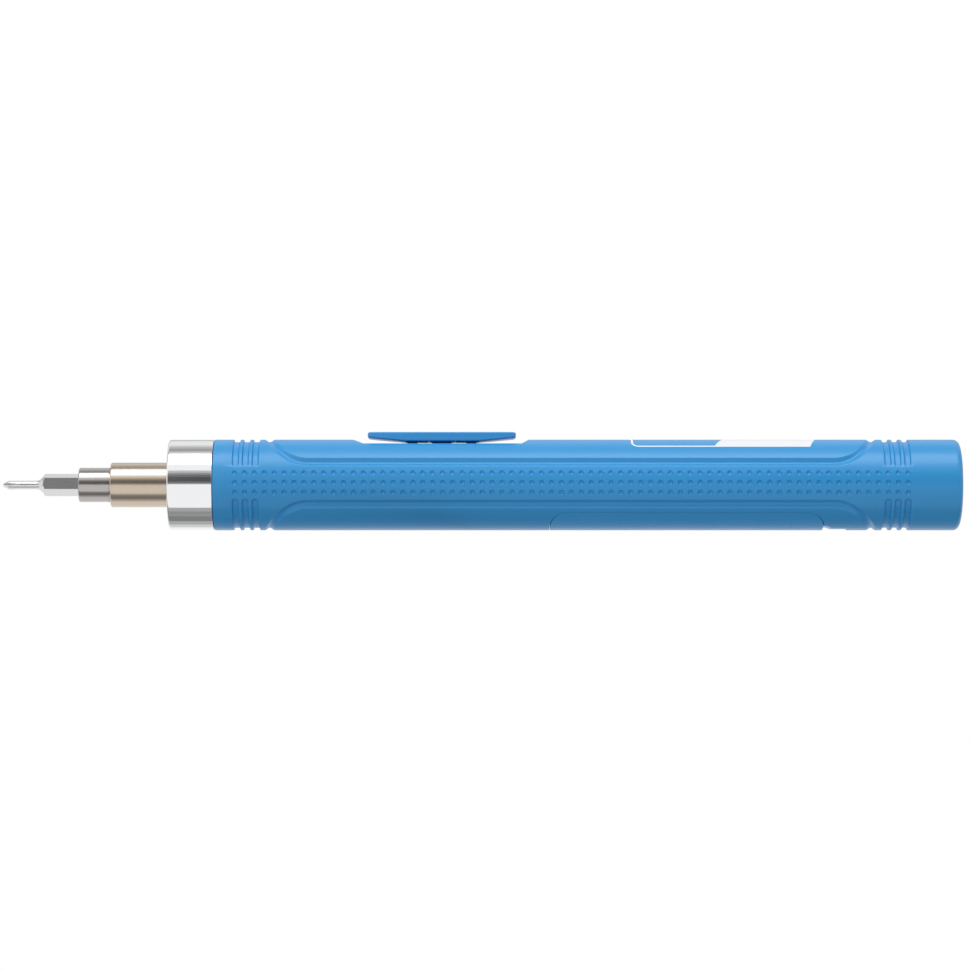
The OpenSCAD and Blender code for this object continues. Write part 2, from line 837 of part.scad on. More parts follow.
module output_spindle() {
  color([0.66, 0.64, 0.63])
    along()
      difference() {
        turned([[0, x_nose], [spindle_r - 0.3, x_nose], [spindle_r, x_nose + 0.3],
          [spindle_r, x_sleeve - nose_gap], [spindle_r - 0.25, x_sleeve - nose_gap],
          [spindle_r - 0.25, x_sleeve + 0.14 + front_ring_t], [spindle_r, x_sleeve + 0.14 + front_ring_t],
          [spindle_r, seat_x - 0.02], [spindle_r - 0.3, seat_x - 0.02],
          [spindle_r - 0.3, seat_x + seat_t + 0.02], [spindle_r, seat_x + seat_t + 0.02],
          [spindle_r, clip_x - 0.02], [spindle_r - 0.4, clip_x - 0.02],
          [spindle_r - 0.4, clip_x + clip_t + 0.02], [spindle_r, clip_x + clip_t + 0.02],
          [spindle_r, flange_x], [carrier_r, flange_x], [carrier_r, flange_x + flange_t],
          [0, flange_x + flange_t]]);
        translate([0, 0, x_nose - 1])
          rotate([0, 0, 90 + bit_roll])
            cylinder(r = hex_r + 0.04, h = x_bit_end - x_nose + 1.05, $fn = 6);
        rod(x_bit_end - 1, x_bit_end + 0.1 + magnet_t + 0.05, magnet_r + 0.02);
        for (s = [0, 180])
          rotate([0, 0, bit_roll + s])
            translate([0, 0, lock_x])
              rotate([0, 90, 0])
                cylinder(r = lock_r + run_gap, h = big / 2);
        for (i = [0:2])
          rotate([0, 0, 90 + 120 * i])
            rod(flange_x - 1, flange_x + flange_t + 1, pin_r + 0.01, planet_r, 0);
      }
}

module spindle_bush() {
  color([0.72, 0.56, 0.34])
    along()
      ring(bush_x, bush_end, bush_r, spindle_r + run_gap);
}

module spindle_clip() {
  color([0.4, 0.4, 0.42])
    along()
      difference() {
        ring(clip_x, clip_x + clip_t, bush_r - 0.1, spindle_r - 0.38);
        slab(-1, 1, 0, big, clip_x - 1, clip_x + 2);
      }
}

module bit_magnet() {
  color([0.5, 0.5, 0.52])
    along()
      rod(x_bit_end + 0.1, x_bit_end + 0.1 + magnet_t, magnet_r);
}

module lock_ball(s) {
  color([0.85, 0.85, 0.87])
    along()
      rotate([0, 0, bit_roll + s])
        translate([lock_in, 0, lock_x])
          sphere(r = lock_r);
}
module lock_ball_a() { lock_ball(0); }
module lock_ball_b() { lock_ball(180); }

module release_sleeve() {
  c = 0.35;
  lip = x_sleeve + 0.6;
  pocket = front_ring_r + 0.08;
  color([0.76, 0.7, 0.62])
    along()
      turned([[pocket, x_sleeve], [sleeve_r - c, x_sleeve], [sleeve_r, x_sleeve + c],
        [sleeve_r, sleeve_end - 0.2], [sleeve_r - 0.2, sleeve_end], [spring_bore, sleeve_end],
        [spring_bore, shoulder_x], [land_r, shoulder_x], [land_r, lock_x + 0.1], [ramp_r, lock_x],
        [recess_r, lock_x - sleeve_travel], [recess_r, lock_x - sleeve_travel - lock_r + 0.08],
        [land_r, lock_x - sleeve_travel - lock_r + 0.08], [land_r, lip], [pocket, lip]]);
}

module sleeve_spring() {
  color([0.6, 0.6, 0.62])
    along()
      coil(shoulder_x + 0.02, seat_x - 0.02, sleeve_mean, sleeve_wire, 5, 14, 5);
}

module sleeve_front_ring() {
  color([0.5, 0.5, 0.52])
    along()
      difference() {
        ring(x_sleeve + 0.12, x_sleeve + 0.12 + front_ring_t, front_ring_r, spindle_r - 0.23);
        slab(-0.8, 0.8, 0, big, x_sleeve - 1, x_sleeve + 2);
      }
}

module sleeve_spring_seat() {
  color([0.5, 0.5, 0.52])
    along()
      ring(seat_x, seat_x + seat_t, spring_bore - 0.08, spindle_r - 0.28);
}

module screwdriver_bit() {
  neck_r0 = bit_neck_d / 2;
  x_neck = x_tip + bit_neck_len;
  cone_len = 1.6;
  flute = 2.2;
  color([0.62, 0.62, 0.64])
    along()
      rotate([0, 0, 90 + bit_roll]) {
        difference() {
          intersection() {
            translate([0, 0, x_neck])
              cylinder(r = hex_r, h = bit_len - bit_neck_len, $fn = 6);
            turned([[0, x_neck], [neck_r0, x_neck], [hex_r - 0.25, x_neck + cone_len],
              [hex_r + 0.1, x_neck + cone_len + 0.4], [hex_r + 0.1, x_bit_end - 0.5],
              [hex_r - 0.3, x_bit_end], [0, x_bit_end]]);
          }
          rotate_extrude()
            translate([lock_in, lock_x])
              circle(r = lock_r + 0.06);
        }
        turned([[0, x_tip + flute], [neck_r0, x_tip + flute], [neck_r0, x_neck + 0.2], [0, x_neck + 0.2]]);
        turned([[0, x_tip + 0.5], [0.3, x_tip + 0.5], [0.42, x_tip + flute + 0.1], [0, x_tip + flute + 0.1]]);
        intersection() {
          turned([[0, x_tip], [0.35, x_tip], [neck_r0, x_tip + 1.1], [neck_r0, x_tip + flute + 0.1],
            [0, x_tip + flute + 0.1]]);
          translate([0, 0, x_tip - 1])
            linear_extrude(flute + 2)
              polygon([[0.16, 0.16], [2, 0.22], [2, -0.22], [0.16, -0.16], [0.22, -2], [-0.22, -2],
                [-0.16, -0.16], [-2, -0.22], [-2, 0.22], [-0.16, 0.16], [-0.22, 2], [0.22, 2]]);
        }
      }
}

module output_planet(i) {
  color([0.68, 0.68, 0.7])
    along()
      planet(i, planet2_x, planet2_x + planet2_w);
}
module output_planet_a() { output_planet(0); }
module output_planet_b() { output_planet(1); }
module output_planet_c() { output_planet(2); }

module output_planet_pins() {
  color([0.8, 0.8, 0.82])
    along()
      for (i = [0:2])
        rotate([0, 0, 90 + 120 * i])
          rod(flange_x, planet2_x + planet2_w, pin_r, planet_r, 0);
}

module stage_carrier() {
  color([0.6, 0.6, 0.62])
    along() {
      difference() {
        rod(carrier_x, carrier_x + carrier_t, carrier_r);
        for (i = [0:2])
          rotate([0, 0, 90 + 120 * i])
            rod(carrier_x - 1, carrier_x + carrier_t + 1, pin_r + 0.01, planet_r, 0);
      }
      rotate([0, 0, 90])
        gear(sun_z, planet2_x, carrier_x + 0.2, 0);
    }
}

module input_planet_pins() {
  color([0.8, 0.8, 0.82])
    along()
      for (i = [0:2])
        rotate([0, 0, 90 + 120 * i])
          rod(carrier_x, planet1_x + planet1_w, pin_r, planet_r, 0);
}

module input_planet(i) {
  color([0.9, 0.88, 0.82])
    along()
      planet(i, planet1_x, planet1_x + planet1_w);
}
module input_planet_a() { input_planet(0); }
module input_planet_b() { input_planet(1); }
module input_planet_c() { input_planet(2); }

module motor_pinion() {
  color([0.82, 0.68, 0.36])
    along()
      rotate([0, 0, 90])
        gear(sun_z, planet1_x, plate_x - 0.1, shaft_r + 0.01);
}

module motor_rotor() {
  color([0.7, 0.7, 0.72])
    along() {
      rod(planet1_x + 0.2, motor_end - 1.5, shaft_r);
      rod(motor_x + 3, motor_end - 4, 3.6);
    }
}

// Motor outline with two flats
module motor_form(x0, x1, r, flat) {
  intersection() {
    rod(x0, x1, r);
    slab(-big, big, -flat, flat, x0 - 1, x1 + 1);
  }
}

module motor_can() {
  color([0.72, 0.73, 0.75])
    along()
      difference() {
        union() {
          motor_form(motor_x + 0.02, motor_end, motor_r, motor_flat);
          rod(plate_x + 0.15, motor_x + 0.5, 2);
        }
        motor_form(motor_x + 1, motor_end + 1, motor_r - 0.6, motor_flat - 0.6);
        rod(plate_x - 1, motor_x + 2, shaft_r + run_gap);
        for (s = [0, 180])
          rotate([0, 0, s])
            rod(motor_x - 1, motor_x + 2, 0.62, 4, 0);
      }
}

module motor_end_bell() {
  color([0.2, 0.2, 0.22])
    along() {
      difference() {
        union() {
          motor_form(motor_end + 0.02, motor_end + bell_t, motor_r - 0.1, motor_flat - 0.1);
          motor_form(motor_end - 1.2, motor_end + 0.1, motor_r - 0.7, motor_flat - 0.7);
        }
        rod(motor_end - 2, motor_end + 0.6, shaft_r + run_gap);
      }
      for (s = [-1, 1])
        slab(s * 2.6 - 0.7, s * 2.6 + 0.7, -0.15, 0.15, motor_end + bell_t - 0.2, motor_end + bell_t + 2);
    }
}

module motor_plate() {
  color([0.62, 0.63, 0.66])
    along()
      difference() {
        rod(plate_x, plate_x + plate_t, case_r);
        rod(plate_x - 1, plate_x + plate_t + 1, 2 + seat_gap);
        for (s = [0, 180])
          rotate([0, 0, s])
            rod(plate_x - 1, plate_x + 2, 0.85, 4, 0);
      }
}

module motor_screws() {
  color([0.5, 0.5, 0.52])
    along()
      for (s = [0, 180])
        rotate([0, 0, s])
          translate([4, 0, 0])
            turned([[0, plate_x + 0.1], [0.8, plate_x + 0.1], [0.8, plate_x + 0.6], [0.6, plate_x + 0.7],
              [0.6, motor_x + 1.4], [0, motor_x + 1.4]]);
}

module motor_lead(s) {
  x = motor_end + bell_t + 1.4;
  color(s < 0 ? [0.75, 0.1, 0.1] : [0.08, 0.08, 0.08])
    along()
      post(x, 0.2, board_z - 0.03, 0.45, s * 2.6);
}
module motor_lead_a() { motor_lead(-1); }
module motor_lead_b() { motor_lead(1); }

housing_left();
housing_right();
battery_door();
battery_cell();
battery_spring();
contact_front();
contact_rear();
control_board();
controller_chip();
filter_capacitor();
switch_body_front();
switch_body_rear();
switch_plunger_front();
switch_plunger_rear();
rocker_button();
rocker_frame();
rocker_pin();
pivot_block();
gear_case();
clutch_ring_gear();
pressure_plate();
clutch_balls();
clutch_spring();
clutch_nut();
torque_collar();
collar_retainer();
output_spindle();
spindle_bush();
spindle_clip();
bit_magnet();
lock_ball_a();
lock_ball_b();
release_sleeve();
sleeve_spring();
sleeve_front_ring();
sleeve_spring_seat();
screwdriver_bit();
output_planet_a();
output_planet_b();
output_planet_c();
output_planet_pins();
stage_carrier();
input_planet_pins();
input_planet_a();
input_planet_b();
input_planet_c();
motor_pinion();
motor_rotor();
motor_can();
motor_end_bell();
motor_plate();
motor_screws();
motor_lead_a();
motor_lead_b();
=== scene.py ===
"""Pen-type battery torque screwdriver: finishes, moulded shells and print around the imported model."""

import json
import math

import bmesh
import bpy
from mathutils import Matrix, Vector


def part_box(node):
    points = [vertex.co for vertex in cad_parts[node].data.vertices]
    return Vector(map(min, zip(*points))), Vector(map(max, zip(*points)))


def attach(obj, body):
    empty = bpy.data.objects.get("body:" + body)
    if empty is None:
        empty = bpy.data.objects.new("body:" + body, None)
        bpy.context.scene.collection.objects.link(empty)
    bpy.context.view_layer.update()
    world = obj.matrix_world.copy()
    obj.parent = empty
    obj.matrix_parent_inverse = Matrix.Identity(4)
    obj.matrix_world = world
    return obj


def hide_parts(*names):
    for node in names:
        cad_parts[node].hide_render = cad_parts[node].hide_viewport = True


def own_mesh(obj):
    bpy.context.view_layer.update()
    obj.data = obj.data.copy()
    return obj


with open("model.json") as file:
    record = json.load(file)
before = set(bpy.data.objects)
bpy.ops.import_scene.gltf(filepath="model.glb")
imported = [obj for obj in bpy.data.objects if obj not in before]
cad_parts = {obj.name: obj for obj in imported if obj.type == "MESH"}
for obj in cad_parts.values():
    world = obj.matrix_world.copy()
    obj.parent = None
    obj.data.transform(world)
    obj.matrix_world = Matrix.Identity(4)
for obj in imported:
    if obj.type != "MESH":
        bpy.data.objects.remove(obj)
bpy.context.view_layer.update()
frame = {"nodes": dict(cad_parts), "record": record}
nodes = frame["nodes"]

# ---------------------------------------------------------------- sizes, in millimetres
MM = 0.001


def span(node):
    """Lowest and highest corner of a node, in millimetres."""
    low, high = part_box(node)
    return Vector(low) / MM, Vector(high) / MM


shell_low, shell_high = span("housing_left")
door_high = span("battery_door")[1]
rocker_low, rocker_high = span("rocker_button")
collar_low, collar_high = span("torque_collar")
X_BODY = shell_low.x
X_TAIL = shell_high.x
BARREL_R = (shell_high.z - shell_low.z) / 2
AXIS_Z = (shell_high.z + shell_low.z) / 2
X_PIVOT = (rocker_low.x + rocker_high.x) / 2
SEAM_GAP = 0.02
SKIN_IN = 8.27
CORE_OUT = 8.4
FRONT_ROUND = 0.14
TAIL_ROUND = 1.3

DIMPLE_FIRST = X_BODY + 4.55
DIMPLE_COLUMNS = 69
DIMPLE_PITCH = 2.0
DIMPLE_ROWS = (-2.0, 0.0, 2.0)
DIMPLE_R = 0.55
DIMPLE_DEPTH = 0.35

SLOT_STARTS = (X_BODY + 4.6, X_BODY + 136.6)
SLOT_COUNT = 3
SLOT_W = 1.4
SLOT_DEPTH = 0.5
SLOT_END = 20.7

PANEL_FRONT = X_BODY + 19.3
PANEL_REAR = X_BODY + 125.7
PANEL_END = 8.1
PANEL_HALF_ARC = 10.1
GROOVE_DEPTH = 0.5
GROOVE_HALF = 1.0


# ---------------------------------------------------------------- mesh helpers
def around(x, r, angle, side=1):
    """Point at radius r round the barrel's axis; 0 degrees is the side, 90 the top."""
    a = math.radians(angle)
    return x, side * r * math.cos(a), AXIS_Z + r * math.sin(a)


def new_object(name, points, faces):
    mesh = bpy.data.meshes.new(name)
    mesh.from_pydata([[c * MM for c in p] for p in points], [], faces)
    obj = bpy.data.objects.new(name, mesh)
    bpy.context.scene.collection.objects.link(obj)
    clean(obj)
    return obj


def clean(obj, weld=1e-7):
    """Welds doubled points and turns every face outwards."""
    bm = bmesh.new()
    bm.from_mesh(obj.data)
    bmesh.ops.remove_doubles(bm, verts=bm.verts, dist=weld)
    bmesh.ops.recalc_face_normals(bm, faces=bm.faces)
    bm.to_mesh(obj.data)
    bm.free()


def smooth(obj, limit=30.0):
    """Smooth shading that keeps edges above the limit sharp."""
    bm = bmesh.new()
    bm.from_mesh(obj.data)
    edge_limit = math.radians(limit)
    for face in bm.faces:
        face.smooth = True
    for edge in bm.edges:
        edge.smooth = len(edge.link_faces) == 2 and edge.calc_face_angle(0.0) < edge_limit
    bm.to_mesh(obj.data)
    bm.free()


def place(obj, material, body, slot, *replaced):
    obj.data.materials.clear()
    obj.data.materials.append(material)
    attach(obj, body)
    if replaced:
        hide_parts(*replaced)


def revolve(name, profile, steps=128, first=0.0, sweep=360.0, side=1):
    """Turns a closed outline of (x, radius) points about the axis."""
    full = sweep >= 360.0
    count = steps if full else steps + 1
    points = [around(x, r, first + sweep * i / steps, side) for i in range(count) for x, r in profile]
    n = len(profile)
    faces = []
    for i in range(steps):
        j = (i + 1) % count
        for k in range(n):
            m = (k + 1) % n
            faces.append((i * n + k, i * n + m, j * n + m, j * n + k))
    if not full:
        faces.append(tuple(range(n)))
        faces.append(tuple((count - 1) * n + k for k in reversed(range(n))))
    return new_object(name, points, faces)


def corner(x, r, radius, first, last, steps=6):
    """Rounded corner of an outline, as (x, radius) points."""
    angles = [math.radians(first + (last - first) * i / steps) for i in range(steps + 1)]
    return [(x + radius * math.sin(a), r + radius * math.cos(a)) for a in angles]


def tube(name, path, sides=10):
    """Round wire along a list of (centre, outward, radius)."""
    points = []
    for centre, outward, lift, radius in path:
        for k in range(sides):
            b = 2 * math.pi * k / sides
            points.append(centre + outward * (radius * math.cos(b)) + lift * (radius * math.sin(b)))
    faces = []
    for i in range(len(path) - 1):
        for k in range(sides):
            m = (k + 1) % sides
            faces.append((i * sides + k, i * sides + m, (i + 1) * sides + m, (i + 1) * sides + k))
    faces.append(tuple(range(sides)))
    last = (len(path) - 1) * sides
    faces.append(tuple(last + k for k in reversed(range(sides))))
    return new_object(name, points, faces)


def coil(name, x0, x1, mean, wire, turns, per_turn=36):
    """Compression spring of even pitch along the axis."""
    path = []
    total = int(turns * per_turn)
    for i in range(total + 1):
        t = i / total
        a = 2 * math.pi * turns * t
        outward = Vector((0, math.cos(a), math.sin(a)))
        x = x0 + wire + (x1 - x0 - 2 * wire) * t
        path.append((Vector((x, 0, AXIS_Z)) + outward * mean, outward, Vector((1, 0, 0)), wire))
    return tube(name, path)


def combine(target, tool, operation):
    """Boolean of two closed meshes; the tool is used up."""
    step = target.modifiers.new("combine", "BOOLEAN")
    step.operation = operation
    step.solver = "MANIFOLD"
    step.object = tool
    graph = bpy.context.evaluated_depsgraph_get()
    result = bpy.data.meshes.new_from_object(target.evaluated_get(graph))
    target.modifiers.clear()
    target.data = result
    bpy.data.objects.remove(tool)
    return target


def joined(name, objects):
    """One object out of several separate closed meshes."""
    bm = bmesh.new()
    for obj in objects:
        bm.from_mesh(obj.data)
        bpy.data.objects.remove(obj)
    mesh = bpy.data.meshes.new(name)
    bm.to_mesh(mesh)
    bm.free()
    obj = bpy.data.objects.new(name, mesh)
    bpy.context.scene.collection.objects.link(obj)
    return obj


# ---------------------------------------------------------------- shared effects, as node groups
def new_group(name, inputs, outputs):
    group = bpy.data.node_groups.new(name, "ShaderNodeTree")
    for label, kind, value in inputs:
        socket = group.interface.new_socket(label, in_out="INPUT", socket_type=kind)
        socket.default_value = value
    for label, kind in outputs:
        group.interface.new_socket(label, in_out="OUTPUT", socket_type=kind)
    start = group.nodes.new("NodeGroupInput")
    end = group.nodes.new("NodeGroupOutput")
    return group, start, end


def link(tree, source, target):
    tree.links.new(source, target)


def add_math(tree, operation, a, b):
    node = tree.nodes.new("ShaderNodeMath")
    node.operation = operation
    for value, socket in ((a, node.inputs[0]), (b, node.inputs[1])):
        if isinstance(value, (int, float)):
            socket.default_value = value
        else:
            link(tree, value, socket)
    return node.outputs[0]


def add_noise(tree, vector, scale, detail=3.0):
    node = tree.nodes.new("ShaderNodeTexNoise")
    node.inputs["Detail"].default_value = detail
    link(tree, vector, node.inputs["Vector"])
    if isinstance(scale, (int, float)):
        node.inputs["Scale"].default_value = scale
    else:
        link(tree, scale, node.inputs["Scale"])
    return node.outputs["Fac"]


def grain_group():
    """Fine moulded grain with slow colour drift: height, roughness and colour."""
    group, start, end = new_group(
        "moulded grain",
        [("Colour", "NodeSocketColor", (0.5, 0.5, 0.5, 1)), ("Grain", "NodeSocketFloat", 4000.0),
         ("Drift", "NodeSocketFloat", 0.05), ("Roughness", "NodeSocketFloat", 0.4)],
        [("Colour", "NodeSocketColor"), ("Roughness", "NodeSocketFloat"), ("Height", "NodeSocketFloat")])
    place_in = group.nodes.new("ShaderNodeTexCoord").outputs["Object"]
    fine = add_noise(group, place_in, start.outputs["Grain"])
    slow = add_noise(group, place_in, 60.0)
    centred = add_math(group, "SUBTRACT", slow, 0.5)
    drift = add_math(group, "MULTIPLY", centred, start.outputs["Drift"])
    value = add_math(group, "ADD", drift, 1.0)
    tint = group.nodes.new("ShaderNodeHueSaturation")
    link(group, start.outputs["Colour"], tint.inputs["Color"])
    link(group, value, tint.inputs["Value"])
    rough = add_math(group, "ADD", start.outputs["Roughness"], add_math(group, "MULTIPLY", centred, 0.12))
    link(group, tint.outputs["Color"], end.inputs["Colour"])
    link(group, rough, end.inputs["Roughness"])
    link(group, fine, end.inputs["Height"])
    return group


def turned_group():
    """Lathe marks: rings round the tool's axis, with a faint smear along them."""
    group, start, end = new_group(
        "turned metal",
        [("Colour", "NodeSocketColor", (0.7, 0.7, 0.7, 1)), ("Rings", "NodeSocketFloat", 9000.0),
         ("Roughness", "NodeSocketFloat", 0.3), ("Variation", "NodeSocketFloat", 0.1)],
        [("Colour", "NodeSocketColor"), ("Roughness", "NodeSocketFloat"), ("Height", "NodeSocketFloat")])
    place_in = group.nodes.new("ShaderNodeTexCoord").outputs["Object"]
    squeeze = group.nodes.new("ShaderNodeVectorMath")
    squeeze.operation = "MULTIPLY"
    squeeze.inputs[1].default_value = (1.0, 0.02, 0.02)
    link(group, place_in, squeeze.inputs[0])
    rings = add_noise(group, squeeze.outputs[0], start.outputs["Rings"], 1.0)
    centred = add_math(group, "SUBTRACT", rings, 0.5)
    vary = add_math(group, "MULTIPLY", centred, start.outputs["Variation"])
    value = add_math(group, "ADD", vary, 1.0)
    tint = group.nodes.new("ShaderNodeHueSaturation")
    link(group, start.outputs["Colour"], tint.inputs["Color"])
    link(group, value, tint.inputs["Value"])
    rough = add_math(group, "ADD", start.outputs["Roughness"], vary)
    link(group, tint.outputs["Color"], end.inputs["Colour"])
    link(group, rough, end.inputs["Roughness"])
    link(group, rings, end.inputs["Height"])
    return group


def wear_group():
    """Mask of rubbed outer edges, broken up by noise."""
    group, start, end = new_group(
        "edge wear", [("Amount", "NodeSocketFloat", 0.3)], [("Mask", "NodeSocketFloat")])
    place_in = group.nodes.new("ShaderNodeTexCoord").outputs["Object"]
    edge = group.nodes.new("ShaderNodeNewGeometry").outputs["Pointiness"]
    patches = add_noise(group, place_in, 900.0)
    high = add_math(group, "MULTIPLY", add_math(group, "SUBTRACT", edge, 0.53), 9.0)
    held = add_math(group, "MAXIMUM", high, 0.0)
    broken = add_math(group, "MULTIPLY", held, patches)
    mask = add_math(group, "MULTIPLY", broken, start.outputs["Amount"])
    link(group, add_math(group, "MINIMUM", mask, 1.0), end.inputs["Mask"])
    return group


GRAIN = grain_group()
TURNED = turned_group()
WEAR = wear_group()


# ---------------------------------------------------------------- materials
def new_material(name):
    material = bpy.data.materials.new(name)
    material.use_nodes = True
    tree = material.node_tree
    return material, tree, tree.nodes["Principled BSDF"]


def insert(tree, group, values):
    node = tree.nodes.new("ShaderNodeGroup")
    node.node_tree = group
    for label, value in values.items():
        node.inputs[label].default_value = value
    return node


def add_bump(tree, shader, height, strength, distance):
    bump = tree.nodes.new("ShaderNodeBump")
    bump.inputs["Strength"].default_value = strength
    bump.inputs["Distance"].default_value = distance * MM
    link(tree, height, bump.inputs["Height"])
    link(tree, bump.outputs["Normal"], shader.inputs["Normal"])


def worn_colour(tree, shader, colour, worn, amount):
    """Puts a lighter colour on rubbed edges."""
    wear = insert(tree, WEAR, {"Amount": amount})
    mix = tree.nodes.new("ShaderNodeMix")
    mix.data_type = "RGBA"
    mix.inputs[7].default_value = (*worn, 1)
    link(tree, wear.outputs["Mask"], mix.inputs["Factor"])
    link(tree, colour, mix.inputs[6])
    link(tree, mix.outputs[2], shader.inputs["Base Color"])


def plastic(name, colour, roughness=0.38, grain=5000.0, bump=0.25, drift=0.06, coat=0.0, worn=None):
    material, tree, shader = new_material(name)
    values = {"Colour": (*colour, 1), "Grain": grain, "Drift": drift, "Roughness": roughness}
    surface = insert(tree, GRAIN, values)
    worn = worn or tuple(min(1.0, c * 1.25 + 0.03) for c in colour)
    worn_colour(tree, shader, surface.outputs["Colour"], worn, 0.5)
    link(tree, surface.outputs["Roughness"], shader.inputs["Roughness"])
    add_bump(tree, shader, surface.outputs["Height"], bump, 0.01)
    shader.inputs["Coat Weight"].default_value = coat
    shader.inputs["Coat Roughness"].default_value = 0.15
    return material


def metal(name, colour, roughness=0.3, rings=9000.0, bump=0.2, variation=0.1, worn=None):
    material, tree, shader = new_material(name)
    values = {"Colour": (*colour, 1), "Rings": rings, "Roughness": roughness, "Variation": variation}
    surface = insert(tree, TURNED, values)
    worn = worn or tuple(min(1.0, c * 1.15) for c in colour)
    worn_colour(tree, shader, surface.outputs["Colour"], worn, 0.4)
    link(tree, surface.outputs["Roughness"], shader.inputs["Roughness"])
    add_bump(tree, shader, surface.outputs["Height"], bump, 0.004)
    shader.inputs["Metallic"].default_value = 1.0
    return material


FINISH = {
    "shell_blue": plastic("blue moulded shell", (0.024, 0.315, 0.7), 0.34, 5200.0, 0.15, 0.05, 0.1),
    "rocker_blue": plastic("blue rocker cap", (0.022, 0.31, 0.7), 0.3, 5200.0, 0.12, 0.04, 0.15),
    # Navy: the rocker carrier's dark colour is painted shade, standing in for the shade under the rocker cap.
    "navy": plastic("navy moulding in painted shade", (0.006, 0.04, 0.27), 0.35),
    "chrome": metal("polished chrome", (0.86, 0.87, 0.88), 0.07, 6000.0, 0.03, 0.02),
    "champagne": metal("champagne anodising", (0.6, 0.51, 0.41), 0.22, 9000.0, 0.04, 0.05),
    "warm_steel": metal("warm bare steel", (0.47, 0.44, 0.43), 0.2, 9000.0, 0.03, 0.05),
    "bit_steel": metal("ground bit steel", (0.72, 0.72, 0.73), 0.24, 12000.0, 0.02, 0.04),
    "steel": metal("turned steel", (0.5, 0.5, 0.52), 0.3),
    "spring_steel": metal("spring wire", (0.42, 0.42, 0.44), 0.28, 14000.0),
    "bronze": metal("sintered bronze", (0.5, 0.33, 0.15), 0.45, 15000.0, 0.4, 0.16),
    "brass": metal("brass", (0.68, 0.5, 0.2), 0.26),
    "case_metal": metal("cast gear case", (0.46, 0.47, 0.49), 0.42, 5000.0, 0.4, 0.12),
    "gear_plastic": plastic("ivory gear resin", (0.78, 0.74, 0.62), 0.42),
    "magnet": metal("nickelled magnet", (0.55, 0.54, 0.52), 0.2),
    "board_green": plastic("green board", (0.012, 0.11, 0.04), 0.3, 2500.0, 0.15, 0.2, 0.5),
    "black_plastic": plastic("black resin", (0.018, 0.018, 0.02), 0.42),
    "white_plastic": plastic("white resin", (0.75, 0.75, 0.72), 0.4),
    "cell_wrap": plastic("grey cell wrap", (0.035, 0.04, 0.055), 0.25, 3000.0, 0.1, 0.1, 0.6),
    "lead_red": plastic("red insulation", (0.5, 0.02, 0.015), 0.4),
    "lead_black": plastic("black insulation", (0.015, 0.015, 0.015), 0.4),
}
PRINT = plastic("white print", (0.86, 0.88, 0.9), 0.4, 7000.0, 0.15, 0.03)


# ---------------------------------------------------------------- barrel shells
def barrel_profile():
    """Outline of the outer skin: front edge, long side, rounded tail, thin inner face."""
    fine = []
    for edge, way in ((PANEL_FRONT, -1), (PANEL_REAR, 1)):
        fine += [edge + way * (i * 0.25 - 0.5) for i in range(42)]
    coarse = [X_BODY + 2.0 * i for i in range(1, 75)]
    stations = sorted(set(round(x, 3) for x in fine + coarse))
    inside = [x for x in stations if X_BODY + 1 < x < X_TAIL - TAIL_ROUND - 0.5]
    outline = [(X_BODY, SKIN_IN)]
    outline += corner(X_BODY + FRONT_ROUND, BARREL_R - FRONT_ROUND, FRONT_ROUND, -90, 0, 4)
    outline += [(x, BARREL_R) for x in inside]
    outline += corner(X_TAIL - TAIL_ROUND, BARREL_R - TAIL_ROUND, TAIL_ROUND, 0, 90, 8)
    outline += [(X_TAIL, r) for r in (5.5, 2.5, 0.0)]
    outline += [(X_TAIL - 0.3, 0.0), (X_TAIL - 0.3, SKIN_IN)]
    return outline


def apart(obj, side):
    """Keeps a half shell's cut faces off the seam."""
    for v in obj.data.vertices:
        if v.co.y * side < SEAM_GAP * MM:
            v.co.y = side * SEAM_GAP * MM


def dimple_cutter(side):
    """Rows of small round-bottomed cups along the side."""
    ball = (DIMPLE_R ** 2 + DIMPLE_DEPTH ** 2) / (2 * DIMPLE_DEPTH)
    lift = BARREL_R - DIMPLE_DEPTH + ball
    sides = 18
    rings = 6
    outline = [(ball * math.sin(math.pi / 2 * k / rings), -ball * math.cos(math.pi / 2 * k / rings))
               for k in range(1, rings + 1)]
    outline.append((ball, 0.3))
    points = []
    faces = []
    for column in range(DIMPLE_COLUMNS):
        x = DIMPLE_FIRST + DIMPLE_PITCH * column
        for row in DIMPLE_ROWS:
            angle = math.degrees(row / BARREL_R)
            centre = Vector(around(x, lift, angle, side))
            out = Vector(around(0, 1, angle, side)) - Vector((0, 0, AXIS_Z))
            across = Vector((1, 0, 0)).cross(out)
            base = len(points)
            points.append(centre - out * ball)
            for radius, height in outline:
                for k in range(sides):
                    a = 2 * math.pi * k / sides
                    turn = Vector((math.cos(a), 0, 0)) + across * math.sin(a)
                    points.append(centre + turn * radius + out * height)
            for k in range(sides):
                m = (k + 1) % sides
                faces.append((base, base + 1 + k, base + 1 + m))
                for ring in range(len(outline) - 1):
                    first = base + 1 + ring * sides
                    faces.append((first + k, first + sides + k, first + sides + m, first + m))
            last = base + 1 + (len(outline) - 1) * sides
            faces.append(tuple(last + k for k in range(sides)))
    return new_object("dimple_cutter", points, faces)


def slot_cutter():
    """Arched slots with round ends and soft floors, across the top and the bottom."""
    half = SLOT_W / 2
    reach = math.degrees((90 - SLOT_END) / 180 * math.pi)
    made = []
    rings = [(half + 0.12, 0.3), (half + 0.12, 0.02), (half, -0.04), (half - 0.07, -SLOT_DEPTH * 0.55),
             (half - 0.2, -SLOT_DEPTH * 0.9), (half - 0.36, -SLOT_DEPTH)]
    for start in SLOT_STARTS:
        for i in range(SLOT_COUNT):
            for turn in (90, 270):
                made.append(slot_form(start + DIMPLE_PITCH * i, turn, reach, rings))
    return joined("slot_cutter", made)


